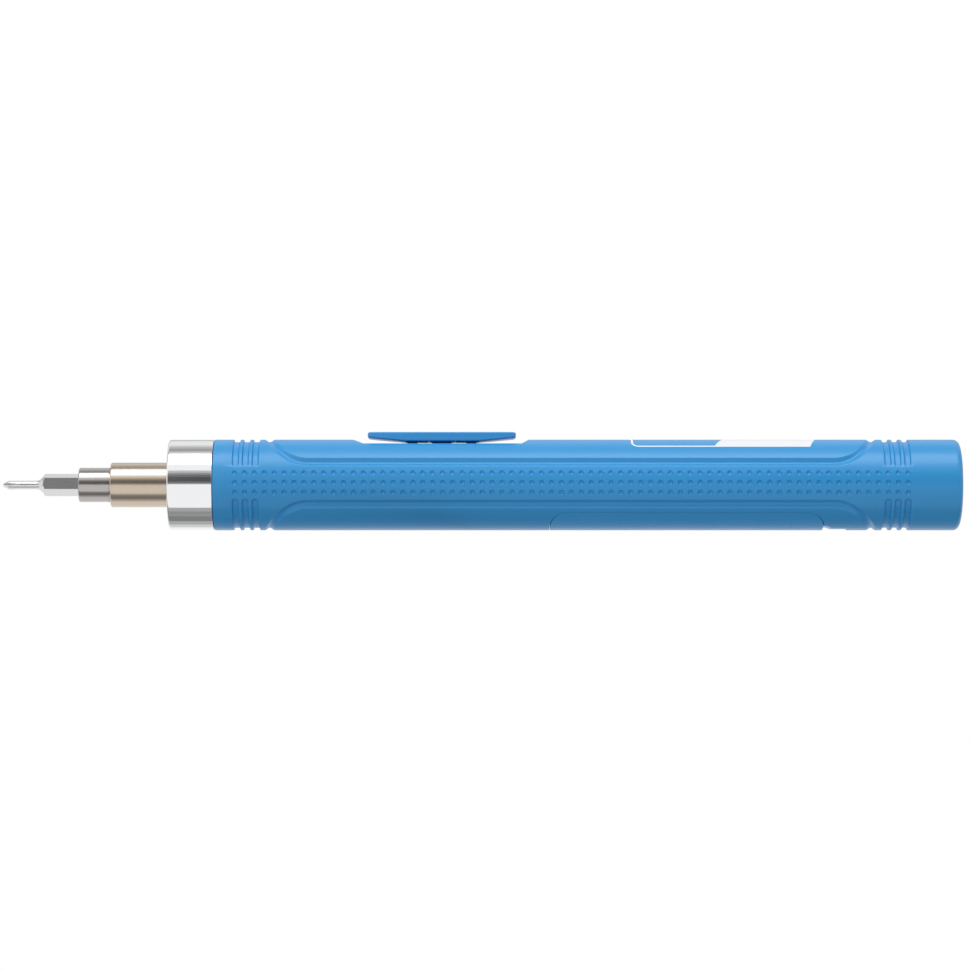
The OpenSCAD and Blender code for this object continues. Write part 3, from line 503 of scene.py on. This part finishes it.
def slot_form(x, turn, reach, rings, bow=48, tip=12):
    """Capsule of (half width, height) rings wrapped round the barrel."""
    points = []
    for half, height in rings:
        end = math.radians(reach) * BARREL_R - SLOT_W / 2
        path = [(half, -end + 2 * end * i / bow) for i in range(bow + 1)]
        path += [(half * math.cos(math.pi * i / tip), end + half * math.sin(math.pi * i / tip))
                 for i in range(1, tip)]
        path += [(-half, end - 2 * end * i / bow) for i in range(bow + 1)]
        path += [(-half * math.cos(math.pi * i / tip), -end - half * math.sin(math.pi * i / tip))
                 for i in range(1, tip)]
        for across, arc in path:
            points.append(around(x + across, BARREL_R + height, turn + math.degrees(arc / BARREL_R)))
    n = len(points) // len(rings)
    faces = []
    for level in range(len(rings) - 1):
        for k in range(n):
            m = (k + 1) % n
            faces.append((level * n + k, level * n + m, (level + 1) * n + m, (level + 1) * n + k))
    for first, flip in ((0, 1), ((len(rings) - 1) * n, -1)):
        loop = [first + k for k in range(n)]
        left = loop[:bow + 1]
        right = loop[bow + tip:bow + tip + bow + 1][::-1]
        for a in range(bow):
            faces.append((left[a], left[a + 1], right[a + 1], right[a])[::flip])
        faces.append(tuple(loop[bow:bow + tip + 1])[::flip])
        faces.append(tuple(loop[bow + tip + bow:] + [loop[0]])[::flip])
    return new_object("slot", points, faces)


def groove_path(steps):
    """Centre line of the panel groove: (degrees from the top, position)."""
    reach = math.degrees(PANEL_HALF_ARC / BARREL_R)
    path = []
    for i in range(4 * steps):
        quarter, t = divmod(i, steps)
        c = math.cos(math.pi / 2 * t / steps)
        s = math.sin(math.pi / 2 * t / steps)
        if quarter == 0:
            path.append((reach * c, PANEL_REAR + PANEL_END * s))
        elif quarter == 1:
            path.append((-reach * s, PANEL_REAR + PANEL_END * c))
        elif quarter == 2:
            path.append((-reach * c, PANEL_FRONT - PANEL_END * s))
        else:
            path.append((reach * s, PANEL_FRONT - PANEL_END * c))
    return path


def groove_cutter(turn, steps=30):
    """Soft U-shaped groove swept round a panel."""
    path = groove_path(steps)
    count = len(path)
    samples = 12
    profile = []
    for k in range(samples + 1):
        s = -GROOVE_HALF * 1.06 + 2 * GROOVE_HALF * 1.06 * k / samples
        depth = (GROOVE_DEPTH + 0.04) * math.cos(math.pi * s / (GROOVE_HALF * 2.36)) ** 2 - 0.04
        profile.append((s, -depth))
    profile += [(GROOVE_HALF * 1.06, 0.3), (-GROOVE_HALF * 1.06, 0.3)]
    n = len(profile)
    points = []
    for i in range(count):
        a = path[i - 1]
        b = path[(i + 1) % count]
        across = math.radians(b[0] - a[0]) * BARREL_R
        along = b[1] - a[1]
        length = math.hypot(across, along)
        for s, height in profile:
            angle = 90 + path[i][0] + math.degrees(-along / length * s / BARREL_R) + turn
            x = path[i][1] + across / length * s
            points.append(around(x, BARREL_R + height, angle))
    faces = []
    for i in range(count):
        j = (i + 1) % count
        for k in range(n):
            m = (k + 1) % n
            faces.append((i * n + k, i * n + m, j * n + m, j * n + k))
    return new_object("groove", points, faces)


def prism(name, outline, low, high, upright=True):
    """Straight prism: a plan outline between two heights, or a side outline between two sides."""
    n = len(outline)
    if upright:
        points = [(x, y, z) for z in (low, high) for x, y in outline]
    else:
        points = [(x, y, z) for y in (low, high) for x, z in outline]
    faces = [(k, (k + 1) % n, n + (k + 1) % n, n + k) for k in range(n)]
    faces += [tuple(reversed(range(n))), tuple(range(n, 2 * n))]
    return new_object(name, points, faces)


def rounded_plan(x0, x1, half, radius, steps=10):
    """Plan outline of a rectangle with round corners."""
    outline = []
    for cx, cy, first in ((x1 - radius, half - radius, 0), (x0 + radius, half - radius, 90),
                          (x0 + radius, radius - half, 180), (x1 - radius, radius - half, 270)):
        for i in range(steps + 1):
            a = math.radians(first + 90 * i / steps)
            outline.append((cx + radius * math.cos(a), cy + radius * math.sin(a)))
    return outline


FLAT_Z = AXIS_Z + 8.26
DOOR_GAP = 0.15
DOOR_ROUND = 3.0
DOOR_LENGTH = 55.4
DOOR_FRONT = door_high.x - DOOR_LENGTH


def opening_cutters():
    """Flat under the rocker, opening of the battery door and the nail notch behind it."""
    slope = 1.98
    flat = [(X_PIVOT - 16, FLAT_Z), (X_PIVOT - 16 - 4.4, FLAT_Z + slope),
            (X_PIVOT + 16.3 + 3, FLAT_Z + slope), (X_PIVOT + 16.3, FLAT_Z)]
    door = rounded_plan(DOOR_FRONT - DOOR_GAP, door_high.x + DOOR_GAP, door_high.y + DOOR_GAP,
                        DOOR_ROUND + DOOR_GAP)
    end = door_high.x
    notch = [(end - 0.5, -1), (end - 0.5, 0.9), (end + 0.4, 0.9), (end + 1.9, 0.3), (end + 5, 0.3),
             (end + 5.6, -1)]
    return [prism("flat", flat, -12, 12, False), prism("door_way", door, -2, AXIS_Z - 2),
            prism("notch", notch, -3.6, 3.6, False)]


def housing(node, side):
    """One shell of the barrel: detailed skin outside, ribs and bulkheads of the core inside."""
    skin = revolve(node + "_shell", barrel_profile(), 180, -90.0, 180.0, side)
    apart(skin, side)
    clean(skin)
    for cutter in [dimple_cutter(side), slot_cutter(), groove_cutter(0), groove_cutter(180)]:
        combine(skin, cutter, "DIFFERENCE")
    for cutter in opening_cutters():
        combine(skin, cutter, "DIFFERENCE")
    core = bpy.data.objects.new(node + "_core", nodes[node].data.copy())
    bpy.context.scene.collection.objects.link(core)
    clean(core, 1e-6)
    trim = revolve("trim", [(X_BODY - 1, 0), (X_BODY - 1, CORE_OUT), (X_TAIL - 0.1, CORE_OUT),
                            (X_TAIL - 0.1, 0)], 120)
    combine(core, trim, "INTERSECT")
    combine(skin, core, "UNION")
    smooth(skin)
    place(skin, FINISH["shell_blue"], "body", "shell_blue", node)
    return skin


housing("housing_left", -1)
housing("housing_right", 1)


# ---------------------------------------------------------------- print on the top panel
PRINT_LIFT = 0.012
PRINT_THICKNESS = 0.03
PRINT_HALF = 5.8
PRINT_LINE = 0.4
PRINT_CORNER = 1.6


def wrapped(name, rows):
    """Thin printed film from rows of (x, arc from the top) points, wrapped on the barrel."""
    width = len(rows[0])
    points = []
    for row in rows:
        for x, arc in row:
            points.append(around(x, BARREL_R + PRINT_LIFT, 90 + math.degrees(arc / BARREL_R)))
    faces = [(i * width + k, i * width + k + 1, (i + 1) * width + k + 1, (i + 1) * width + k)
             for i in range(len(rows) - 1) for k in range(width - 1)]
    obj = new_object(name, points, faces)
    bm = bmesh.new()
    bm.from_mesh(obj.data)
    for face in bm.faces:
        if face.normal.z < 0:
            face.normal_flip()
    bmesh.ops.solidify(bm, geom=bm.faces, thickness=PRINT_THICKNESS * MM)
    bmesh.ops.recalc_face_normals(bm, faces=bm.faces)
    bm.to_mesh(obj.data)
    bm.free()
    smooth(obj, 40)
    place(obj, PRINT, "body", "shell_blue")
    return obj


def print_block():
    """Filled block with slanted ends."""
    rows = []
    half = PRINT_HALF
    for i in range(31):
        arc = -half + 2 * half * i / 30
        t = (half - arc) / (2 * half)
        x0 = X_BODY + 101.6 + 5.0 * t
        x1 = X_BODY + 121.1 + 3.4 * t
        rows.append([(x0 + (x1 - x0) * k / 24, arc) for k in range(25)])
    return wrapped("print_block", rows)


def print_frame():
    """Outlined box with round front corners beside the filled block."""
    half = PRINT_HALF
    radius = PRINT_CORNER
    x0 = X_BODY + 84.8
    x1 = X_BODY + 101.9

    def loop(inset):
        r = radius - inset
        path = [(x1 + (x0 + radius - x1) * i / 16, half - inset) for i in range(16)]
        for i in range(9):
            a = math.radians(90 + 90 * i / 8)
            path.append((x0 + radius + r * math.cos(a), half - radius + r * math.sin(a)))
        path += [(x0 + inset, (half - radius) * (1 - 2 * i / 24)) for i in range(1, 24)]
        for i in range(9):
            a = math.radians(180 + 90 * i / 8)
            path.append((x0 + radius + r * math.cos(a), radius - half + r * math.sin(a)))
        path += [(x0 + radius + (x1 - x0 - radius) * i / 16, inset - half) for i in range(1, 17)]
        return path

    outer = loop(0.0)
    inner = loop(PRINT_LINE)
    return wrapped("print_frame", [outer, inner])


print_block()
print_frame()


# ---------------------------------------------------------------- turned pieces at the front
def bar(name, x0, x1, section):
    """Straight bar along the tool from a section of (side, up) points about the axis."""
    n = len(section)
    points = [(x, y, AXIS_Z + z) for x in (x0, x1) for y, z in section]
    faces = [(k, (k + 1) % n, n + (k + 1) % n, n + k) for k in range(n)]
    faces += [tuple(reversed(range(n))), tuple(range(n, 2 * n))]
    return new_object(name, points, faces)


def circle(radius, steps=48, turn=0.0):
    angles = [math.radians(turn + 360 * i / steps) for i in range(steps)]
    return [(radius * math.cos(a), radius * math.sin(a)) for a in angles]


def shifted(section, side, up):
    return [(y + side, z + up) for y, z in section]


def turned_about(section, degrees):
    c = math.cos(math.radians(degrees))
    s = math.sin(math.radians(degrees))
    return [(y * c - z * s, y * s + z * c) for y, z in section]


sleeve_low, sleeve_high = span("release_sleeve")
spindle_low, spindle_high = span("output_spindle")
bit_low, bit_high = span("screwdriver_bit")
nut_high = span("clutch_nut")[1]
seat_low, seat_high = span("sleeve_spring_seat")
clip_low, clip_high = span("spindle_clip")
ring_high = span("sleeve_front_ring")[1]
magnet_high = span("bit_magnet")[1]
retainer_high = span("collar_retainer")[1]
X_COLLAR = collar_low.x
X_SLEEVE = sleeve_low.x
X_NOSE = spindle_low.x
X_TIP = bit_low.x
COLLAR_R = BARREL_R - 0.03
SLEEVE_R = 4.55
SPINDLE_R = 3.5
BIT_ROLL = 6.5
HEX_R = 2.0 / math.cos(math.radians(30))
PIN_CIRCLE = 4.2
LOCK_X = bit_high.x - 2.0
RUN_GAP = 0.04


def torque_collar():
    """Chromed collar with two tongues that turn the clutch nut."""
    edge = 0.5
    x1 = collar_high.x
    step = retainer_high.x + 0.13
    outline = [(X_COLLAR, SLEEVE_R + 0.17)]
    outline += corner(X_COLLAR + edge, COLLAR_R - edge, edge, -90, 0, 8)
    outline += corner(x1 - 0.2, COLLAR_R - 0.2, 0.2, 0, 90, 4)
    outline += [(x1, 6.74), (step, 6.74), (step, 7.4), (X_COLLAR + 1.1, 7.4)]
    outline += [(X_COLLAR + 1.1, SLEEVE_R + 0.17)]
    collar = revolve("torque_collar_chrome", outline, 180)
    for way in (1, -1):
        tongue = [(way * 4.85, -0.8), (way * 5.45, -0.8), (way * 5.45, 0.8), (way * 4.85, 0.8)]
        combine(collar, bar("tongue", X_COLLAR + 0.8, nut_high.x - 0.1, tongue), "UNION")
    smooth(collar, 35)
    place(collar, FINISH["chrome"], "torque_collar", "chrome", "torque_collar")


def release_sleeve():
    """Sleeve whose inner ramp frees the lock balls when it slides back."""
    land = SPINDLE_R + 0.08
    pocket = SPINDLE_R + 0.53
    bore = SPINDLE_R + 0.6
    travel = 1.9
    ramp = 0.5 / travel
    ramp_r = SPINDLE_R - 0.95 + math.sqrt(1 + ramp * ramp) + 0.02
    back = LOCK_X - travel
    outline = [(X_SLEEVE, pocket)]
    outline += corner(X_SLEEVE + 0.35, SLEEVE_R - 0.35, 0.35, -90, 0, 6)
    outline += corner(sleeve_high.x - 0.2, SLEEVE_R - 0.2, 0.2, 0, 90, 4)
    outline += [(sleeve_high.x, bore), (LOCK_X + 1.4, bore), (LOCK_X + 1.4, land), (LOCK_X + 0.1, land),
                (LOCK_X, ramp_r), (back, ramp_r + 0.5), (back - 0.92, ramp_r + 0.5), (back - 0.92, land),
                (X_SLEEVE + 0.6, land), (X_SLEEVE + 0.6, pocket)]
    sleeve = revolve("release_sleeve_turned", outline, 160)
    smooth(sleeve, 35)
    place(sleeve, FINISH["champagne"], "release_sleeve", "champagne", "release_sleeve")


def output_spindle():
    """Spindle with the bit socket, ball holes and grooves for its rings."""
    r = SPINDLE_R
    flange_r = spindle_high.y
    flange_x = spindle_high.x - 1.4
    outline = [(X_NOSE, 0.0)] + corner(X_NOSE + 0.3, r - 0.3, 0.3, -90, 0, 6)
    grooves = ((X_SLEEVE - 0.3, ring_high.x + 0.02, 0.25),
               (seat_low.x - 0.02, seat_high.x + 0.02, 0.3),
               (clip_low.x - 0.02, clip_high.x + 0.02, 0.4))
    for x0, x1, depth in grooves:
        outline += [(x0, r), (x0, r - depth), (x1, r - depth), (x1, r)]
    outline += [(flange_x, r), (flange_x, flange_r), (spindle_high.x, flange_r), (spindle_high.x, 0.0)]
    spindle = revolve("output_spindle_turned", outline, 144)
    socket = turned_about(circle(HEX_R + 0.04, 6), 90 - BIT_ROLL)
    combine(spindle, bar("socket", X_NOSE - 1, bit_high.x + 0.05, socket), "DIFFERENCE")
    combine(spindle, bar("magnet_seat", bit_high.x - 1, magnet_high.x + 0.05, circle(2.02)), "DIFFERENCE")
    hole = [(LOCK_X + (1 + RUN_GAP) * math.cos(math.pi * k / 16), (1 + RUN_GAP) * math.sin(math.pi * k / 16))
            for k in range(32)]
    for turn in (BIT_ROLL, BIT_ROLL + 180):
        c = math.cos(math.radians(turn))
        s = math.sin(math.radians(turn))
        points = [(x, reach * c - up * s, AXIS_Z + reach * s + up * c)
                  for reach in (0.3, 6.0) for x, up in hole]
        faces = [(k, (k + 1) % 32, 32 + (k + 1) % 32, 32 + k) for k in range(32)]
        faces += [tuple(reversed(range(32))), tuple(range(32, 64))]
        combine(spindle, new_object("ball_hole", points, faces), "DIFFERENCE")
    for i in range(3):
        a = math.radians(90 + 120 * i)
        seat = shifted(circle(0.79, 32), PIN_CIRCLE * math.cos(a), PIN_CIRCLE * math.sin(a))
        combine(spindle, bar("pin_hole", flange_x - 1, spindle_high.x + 1, seat), "DIFFERENCE")
    smooth(spindle, 35)
    place(spindle, FINISH["warm_steel"], "spindle", "warm_steel", "output_spindle")


def screwdriver_bit():
    neck = 0.875
    shoulder = X_TIP + 8.35
    end = bit_high.x
    outline = [(X_TIP, 0.0), (X_TIP + 0.02, 0.22), (X_TIP + 0.25, 0.42), (X_TIP + 1.25, neck)]
    outline += [(X_TIP + 1.25 + (shoulder - 1.5 - X_TIP - 1.25) * i / 8, neck) for i in range(1, 9)]
    outline += [(shoulder - 1.5 + 1.3 * t, neck + 0.72 * t * t) for t in (0.25, 0.5, 0.75, 1.0)]
    outline += [(shoulder + 0.1, HEX_R - 0.22), (shoulder + 0.42, HEX_R + 0.1), (LOCK_X - 1.1, HEX_R + 0.1),
                (end - 0.5, HEX_R + 0.1), (end, HEX_R - 0.3), (end, 0.0)]
    bit = revolve("screwdriver_bit_ground", outline, 120)
    body = bar("hex", X_TIP - 1, end + 1, turned_about(circle(HEX_R, 6), 90 - BIT_ROLL))
    combine(bit, body, "INTERSECT")
    groove = [(LOCK_X - 0.62, 3.0), (LOCK_X - 0.62, 1.74)]
    groove += [(LOCK_X + 1.06 * math.sin(a), 2.55 - 1.06 * math.cos(a))
               for a in [math.radians(-30 + 10 * i) for i in range(7)]]
    groove += [(LOCK_X + 0.62, 1.74), (LOCK_X + 0.62, 3.0)]
    combine(bit, revolve("lock_groove", groove, 96), "DIFFERENCE")
    for i in range(4):
        near = [(0.13, 0.13), (3.0, 0.34), (3.0, 3.0), (0.34, 3.0)]
        far = [(0.66, 0.66), (3.0, 0.8), (3.0, 3.0), (0.8, 3.0)]
        turn = 45 - BIT_ROLL + 90 * i
        points = [(X_TIP - 0.3, y, AXIS_Z + z) for y, z in turned_about(near, turn)]
        points += [(X_TIP + 3.6, y, AXIS_Z + z) for y, z in turned_about(far, turn)]
        faces = [(0, 1, 5, 4), (1, 2, 6, 5), (2, 3, 7, 6), (3, 0, 4, 7), (3, 2, 1, 0), (4, 5, 6, 7)]
        combine(bit, new_object("flute", points, faces), "DIFFERENCE")
    smooth(bit, 25)
    place(bit, FINISH["bit_steel"], "spindle", "bit_steel", "screwdriver_bit")


torque_collar()
release_sleeve()
output_spindle()
screwdriver_bit()

# ---------------------------------------------------------------- rocker
ROCKER_LOW = AXIS_Z + 8.8
ROCKER_END_LOW = AXIS_Z + 9.5
POCKET_TOP = AXIS_Z + 10.15
PIN_Z = AXIS_Z + 9.35
CAP_DROP = 0.22
CAP_ROUND = 0.32


def block(name, x0, x1, y0, y1, z0, z1):
    return prism(name, [(x0, y0), (x1, y0), (x1, y1), (x0, y1)], z0, z1)


def soften(obj, width, limit=25.0, segments=3):
    """Small round on every edge sharper than the limit."""
    step = obj.modifiers.new("soften", "BEVEL")
    step.width = width * MM
    step.segments = segments
    step.limit_method = "ANGLE"
    step.angle_limit = math.radians(limit)
    step.use_clamp_overlap = True
    graph = bpy.context.evaluated_depsgraph_get()
    result = bpy.data.meshes.new_from_object(obj.evaluated_get(graph))
    obj.modifiers.clear()
    obj.data = result


def rocker_cap():
    """Thin cap with softened edges and a pocket for the carrier."""
    half = (rocker_high.x - rocker_low.x) / 2
    side = rocker_high.y
    top = rocker_high.z - CAP_DROP
    outline = [(X_PIVOT + half, ROCKER_END_LOW), (X_PIVOT + half, top), (X_PIVOT - half, top),
               (X_PIVOT - half, ROCKER_END_LOW), (X_PIVOT - 7.5, ROCKER_LOW), (X_PIVOT + 7.5, ROCKER_LOW)]
    cap = prism("rocker_cap", outline, -side, side, False)
    plan = prism("plan", rounded_plan(X_PIVOT - half, X_PIVOT + half, side, 1.6, 12), AXIS_Z + 7, AXIS_Z + 12)
    combine(cap, plan, "INTERSECT")
    soften(cap, CAP_ROUND, 35.0, 4)
    combine(cap, block("pocket", X_PIVOT - 7.45, X_PIVOT + 7.45, -2.95, 2.95, AXIS_Z + 8, POCKET_TOP - 0.15),
            "DIFFERENCE")
    smooth(cap, 35)
    place(cap, FINISH["rocker_blue"], "rocker", "rocker_blue", "rocker_button")


def rocker_carrier():
    """Carrier in the cap with the pin way and two rounded legs; its navy colour is painted shade from the cap
    above.
    """
    carrier = block("rocker_carrier", X_PIVOT - 7.4, X_PIVOT + 7.4, -2.9, 2.9, AXIS_Z + 9.25,
                    POCKET_TOP - 0.2)
    boss = block("boss", X_PIVOT - 2.9, X_PIVOT + 2.9, -2.9, 2.9, ROCKER_LOW, AXIS_Z + 9.5)
    combine(carrier, boss, "UNION")
    for way in (-1, 1):
        middle = X_PIVOT + 6 * way
        foot = [(middle + 1.15 * math.cos(a), AXIS_Z + 9.05 + 1.15 * math.sin(a))
                for a in [math.pi + math.pi * k / 16 for k in range(17)]]
        foot += [(middle + 1.15, AXIS_Z + 9.5), (middle - 1.15, AXIS_Z + 9.5)]
        combine(carrier, prism("leg", foot, -1.5, 1.5, False), "UNION")
    combine(carrier, block("post_way", X_PIVOT - 2.5, X_PIVOT + 2.5, -1.75, 1.75, AXIS_Z + 8, AXIS_Z + 12),
            "DIFFERENCE")
    hole = [(X_PIVOT + 0.52 * math.cos(2 * math.pi * k / 32), PIN_Z + 0.52 * math.sin(2 * math.pi * k / 32))
            for k in range(32)]
    combine(carrier, prism("pin_way", hole, -4, 4, False), "DIFFERENCE")
    smooth(carrier, 35)
    place(carrier, FINISH["navy"], "rocker", "navy", "rocker_frame")


rocker_cap()
rocker_carrier()

# ---------------------------------------------------------------- springs
bias_low, bias_high = span("sleeve_spring")
sleeve_coil = coil("sleeve_spring_coil", bias_low.x, bias_high.x, 3.8, 0.2, 5.0)
smooth(sleeve_coil, 60)
place(sleeve_coil, FINISH["spring_steel"], "body", "spring_steel", "sleeve_spring")
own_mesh(sleeve_coil)
clutch_low, clutch_high = span("clutch_spring")
clutch_coil = coil("clutch_spring_coil", clutch_low.x, clutch_high.x, 5.05, 0.4, 3.5)
smooth(clutch_coil, 60)
place(clutch_coil, FINISH["spring_steel"], "body", "spring_steel", "clutch_spring")
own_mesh(clutch_coil)
cell_low, cell_high = span("battery_spring")
cell_coil = coil("battery_spring_coil", cell_low.x, cell_high.x, 2.8, 0.3, 4.0)
for vertex in cell_coil.data.vertices:
    vertex.co.z += (cell_low.z + cell_high.z) / 2 * MM - AXIS_Z * MM
smooth(cell_coil, 60)
place(cell_coil, FINISH["spring_steel"], "body", "spring_steel", "battery_spring")

# ---------------------------------------------------------------- finishes of the carried-over nodes
node_slots = {entry["node"]: entry["material_slot"] for entry in frame["record"]["subparts"]}
for name, obj in nodes.items():
    for holder in obj.material_slots:
        holder.material = FINISH[node_slots[name]]


# ---------------------------------------------------------------- floor, light and camera
def stage_material():
    """Pale floor, clear from below: white to reflections and half as bright to soft bounce light."""
    material, tree, shader = new_material("pale floor")
    shader.inputs["Base Color"].default_value = (0.9, 0.9, 0.9, 1)
    shader.inputs["Roughness"].default_value = 0.9
    clear = tree.nodes.new("ShaderNodeBsdfTransparent")
    back = tree.nodes.new("ShaderNodeNewGeometry")
    mix = tree.nodes.new("ShaderNodeMixShader")
    glow = tree.nodes.new("ShaderNodeEmission")
    ray = tree.nodes.new("ShaderNodeLightPath")
    dimmed = add_math(tree, "MULTIPLY", ray.outputs["Is Diffuse Ray"], 0.5)
    link(tree, add_math(tree, "SUBTRACT", 1.0, dimmed), glow.inputs["Strength"])
    mirrored = tree.nodes.new("ShaderNodeMixShader")
    seen = add_math(tree, "MAXIMUM", ray.outputs["Is Glossy Ray"], ray.outputs["Is Transmission Ray"])
    seen = add_math(tree, "MAXIMUM", seen, ray.outputs["Is Diffuse Ray"])
    link(tree, seen, mirrored.inputs["Fac"])
    link(tree, shader.outputs["BSDF"], mirrored.inputs[1])
    link(tree, glow.outputs["Emission"], mirrored.inputs[2])
    link(tree, back.outputs["Backfacing"], mix.inputs["Fac"])
    link(tree, mirrored.outputs["Shader"], mix.inputs[1])
    link(tree, clear.outputs["BSDF"], mix.inputs[2])
    link(tree, mix.outputs["Shader"], tree.nodes["Material Output"].inputs["Surface"])
    return material


floor_half = 2500.0
floor = new_object("floor", [(-floor_half, -floor_half, -0.02), (floor_half, -floor_half, -0.02),
                             (floor_half, floor_half, -0.02), (-floor_half, floor_half, -0.02)],
                   [(0, 1, 2, 3)])
if floor.data.polygons[0].normal.z < 0:
    floor.data.flip_normals()
floor.data.materials.append(stage_material())

world = bpy.data.worlds.new("studio")
bpy.context.scene.world = world
world.use_nodes = True
tree = world.node_tree
path = tree.nodes.new("ShaderNodeLightPath")
seen = add_math(tree, "MAXIMUM", path.outputs["Is Camera Ray"], path.outputs["Is Glossy Ray"])
seen = add_math(tree, "MAXIMUM", seen, path.outputs["Is Transmission Ray"])
soft = tree.nodes["Background"]
soft.inputs["Color"].default_value = (1, 1, 1, 1)
soft.inputs["Strength"].default_value = 0.5
white = tree.nodes.new("ShaderNodeBackground")
white.inputs["Color"].default_value = (1, 1, 1, 1)
white.inputs["Strength"].default_value = 1.0
blend = tree.nodes.new("ShaderNodeMixShader")
link(tree, seen, blend.inputs["Fac"])
link(tree, soft.outputs["Background"], blend.inputs[1])
link(tree, white.outputs["Background"], blend.inputs[2])
link(tree, blend.outputs["Shader"], tree.nodes["World Output"].inputs["Surface"])


def glow_material(name, level):
    material, tree, shader = new_material(name)
    shader.inputs["Base Color"].default_value = (0, 0, 0, 1)
    shader.inputs["Emission Color"].default_value = (1, 1, 1, 1)
    shader.inputs["Emission Strength"].default_value = level
    shader.inputs["Specular IOR Level"].default_value = 0.0
    return material


def reflector(name, corners, level):
    """Grey card that only polished surfaces see."""
    card = new_object(name, corners, [(0, 1, 2, 3)])
    card.data.materials.append(glow_material(name, level))
    card.visible_camera = False
    card.visible_diffuse = False
    card.visible_transmission = False
    card.visible_shadow = False


CARD_DISTANCE = 520.0
CARD_HALF = 900.0
FLOOR_SHADOW_HALF = 104
FLOOR_SHADOW_Z = -0.01
# First and last elevation in degrees, and brightness.
CARDS = [(-7, -3, 0.7), (-3, 1, 0.4), (1, 6, 0.18), (6, 17, 0.09), (17, 23, 0.16), (23, 28, 0.3),
         (28, 34, 0.55), (82, 87, 0.8), (87, 92, 0.6), (92, 102, 0.38), (102, 110, 0.5), (110, 118, 0.7),
         (118, 146, 0.9), (146, 185, 0.6)]
# Painted floor shadow: dark strips under the tool that only polished surfaces see. Near and far edge in
# millimetres, and brightness.
FLOOR_SHADOW_CARDS = [(-9.9, -8.2, 0.42), (-8.2, -6.4, 0.3), (-6.4, -4.6, 0.24), (-4.6, -3.4, 0.45),
               (-3.4, -2.2, 0.7)]
for number, (first, last, level) in enumerate(CARDS):
    ends = []
    for angle in (first, last):
        a = math.radians(angle)
        ends.append((-CARD_DISTANCE * math.cos(a), AXIS_Z + CARD_DISTANCE * math.sin(a)))
    quad = [(x, y, z) for (y, z), x in zip((ends[0], ends[0], ends[1], ends[1]),
                                           (-CARD_HALF, CARD_HALF, CARD_HALF, -CARD_HALF))]
    reflector("card_%d" % number, quad, level)
# Each strip is painted shadow on the floor under the tool, put in for reflections.
for number, (near, far, level) in enumerate(FLOOR_SHADOW_CARDS):
    quad = [(x, y, FLOOR_SHADOW_Z) for x, y in ((-FLOOR_SHADOW_HALF, near), (FLOOR_SHADOW_HALF, near),
                                              (FLOOR_SHADOW_HALF, far), (-FLOOR_SHADOW_HALF, far))]
    reflector("painted_floor_shadow_%d" % number, quad, level)


def area_light(name, place_mm, aim_mm, size_mm, power):
    data = bpy.data.lights.new(name, "AREA")
    data.shape = "RECTANGLE"
    data.size = size_mm[0] * MM
    data.size_y = size_mm[1] * MM
    data.energy = power
    lamp = bpy.data.objects.new(name, data)
    lamp.location = Vector(place_mm) * MM
    lamp.rotation_euler = (Vector(aim_mm) - Vector(place_mm)).to_track_quat("-Z", "Y").to_euler()
    bpy.context.scene.collection.objects.link(lamp)
    return lamp


area_light("top_softbox", (0, -250, 700), (0, 0, 9), (900, 500), 3.4)
area_light("front_softbox", (-350, -800, 260), (0, 0, 9), (500, 400), 1.2)

CAMERA_LENS = 145.4
CAMERA_SENSOR = 36.0
CAMERA_DISTANCE = 0.8
CAMERA_TILT = -3.0
camera_data = bpy.data.cameras.new("camera")
camera_data.lens = CAMERA_LENS
camera_data.sensor_width = CAMERA_SENSOR
camera_data.clip_start = 0.01
camera_data.clip_end = 20.0
camera = bpy.data.objects.new("camera", camera_data)
aim = Vector((0.85, 0.0, AXIS_Z)) * MM
tilt = math.radians(CAMERA_TILT)
camera.location = aim + Vector((0, -math.cos(tilt), math.sin(tilt))) * CAMERA_DISTANCE
camera.rotation_euler = (aim - camera.location).to_track_quat("-Z", "Y").to_euler()
bpy.context.scene.collection.objects.link(camera)
bpy.context.scene.camera = camera

scene = bpy.context.scene
scene.view_settings.view_transform = "Standard"
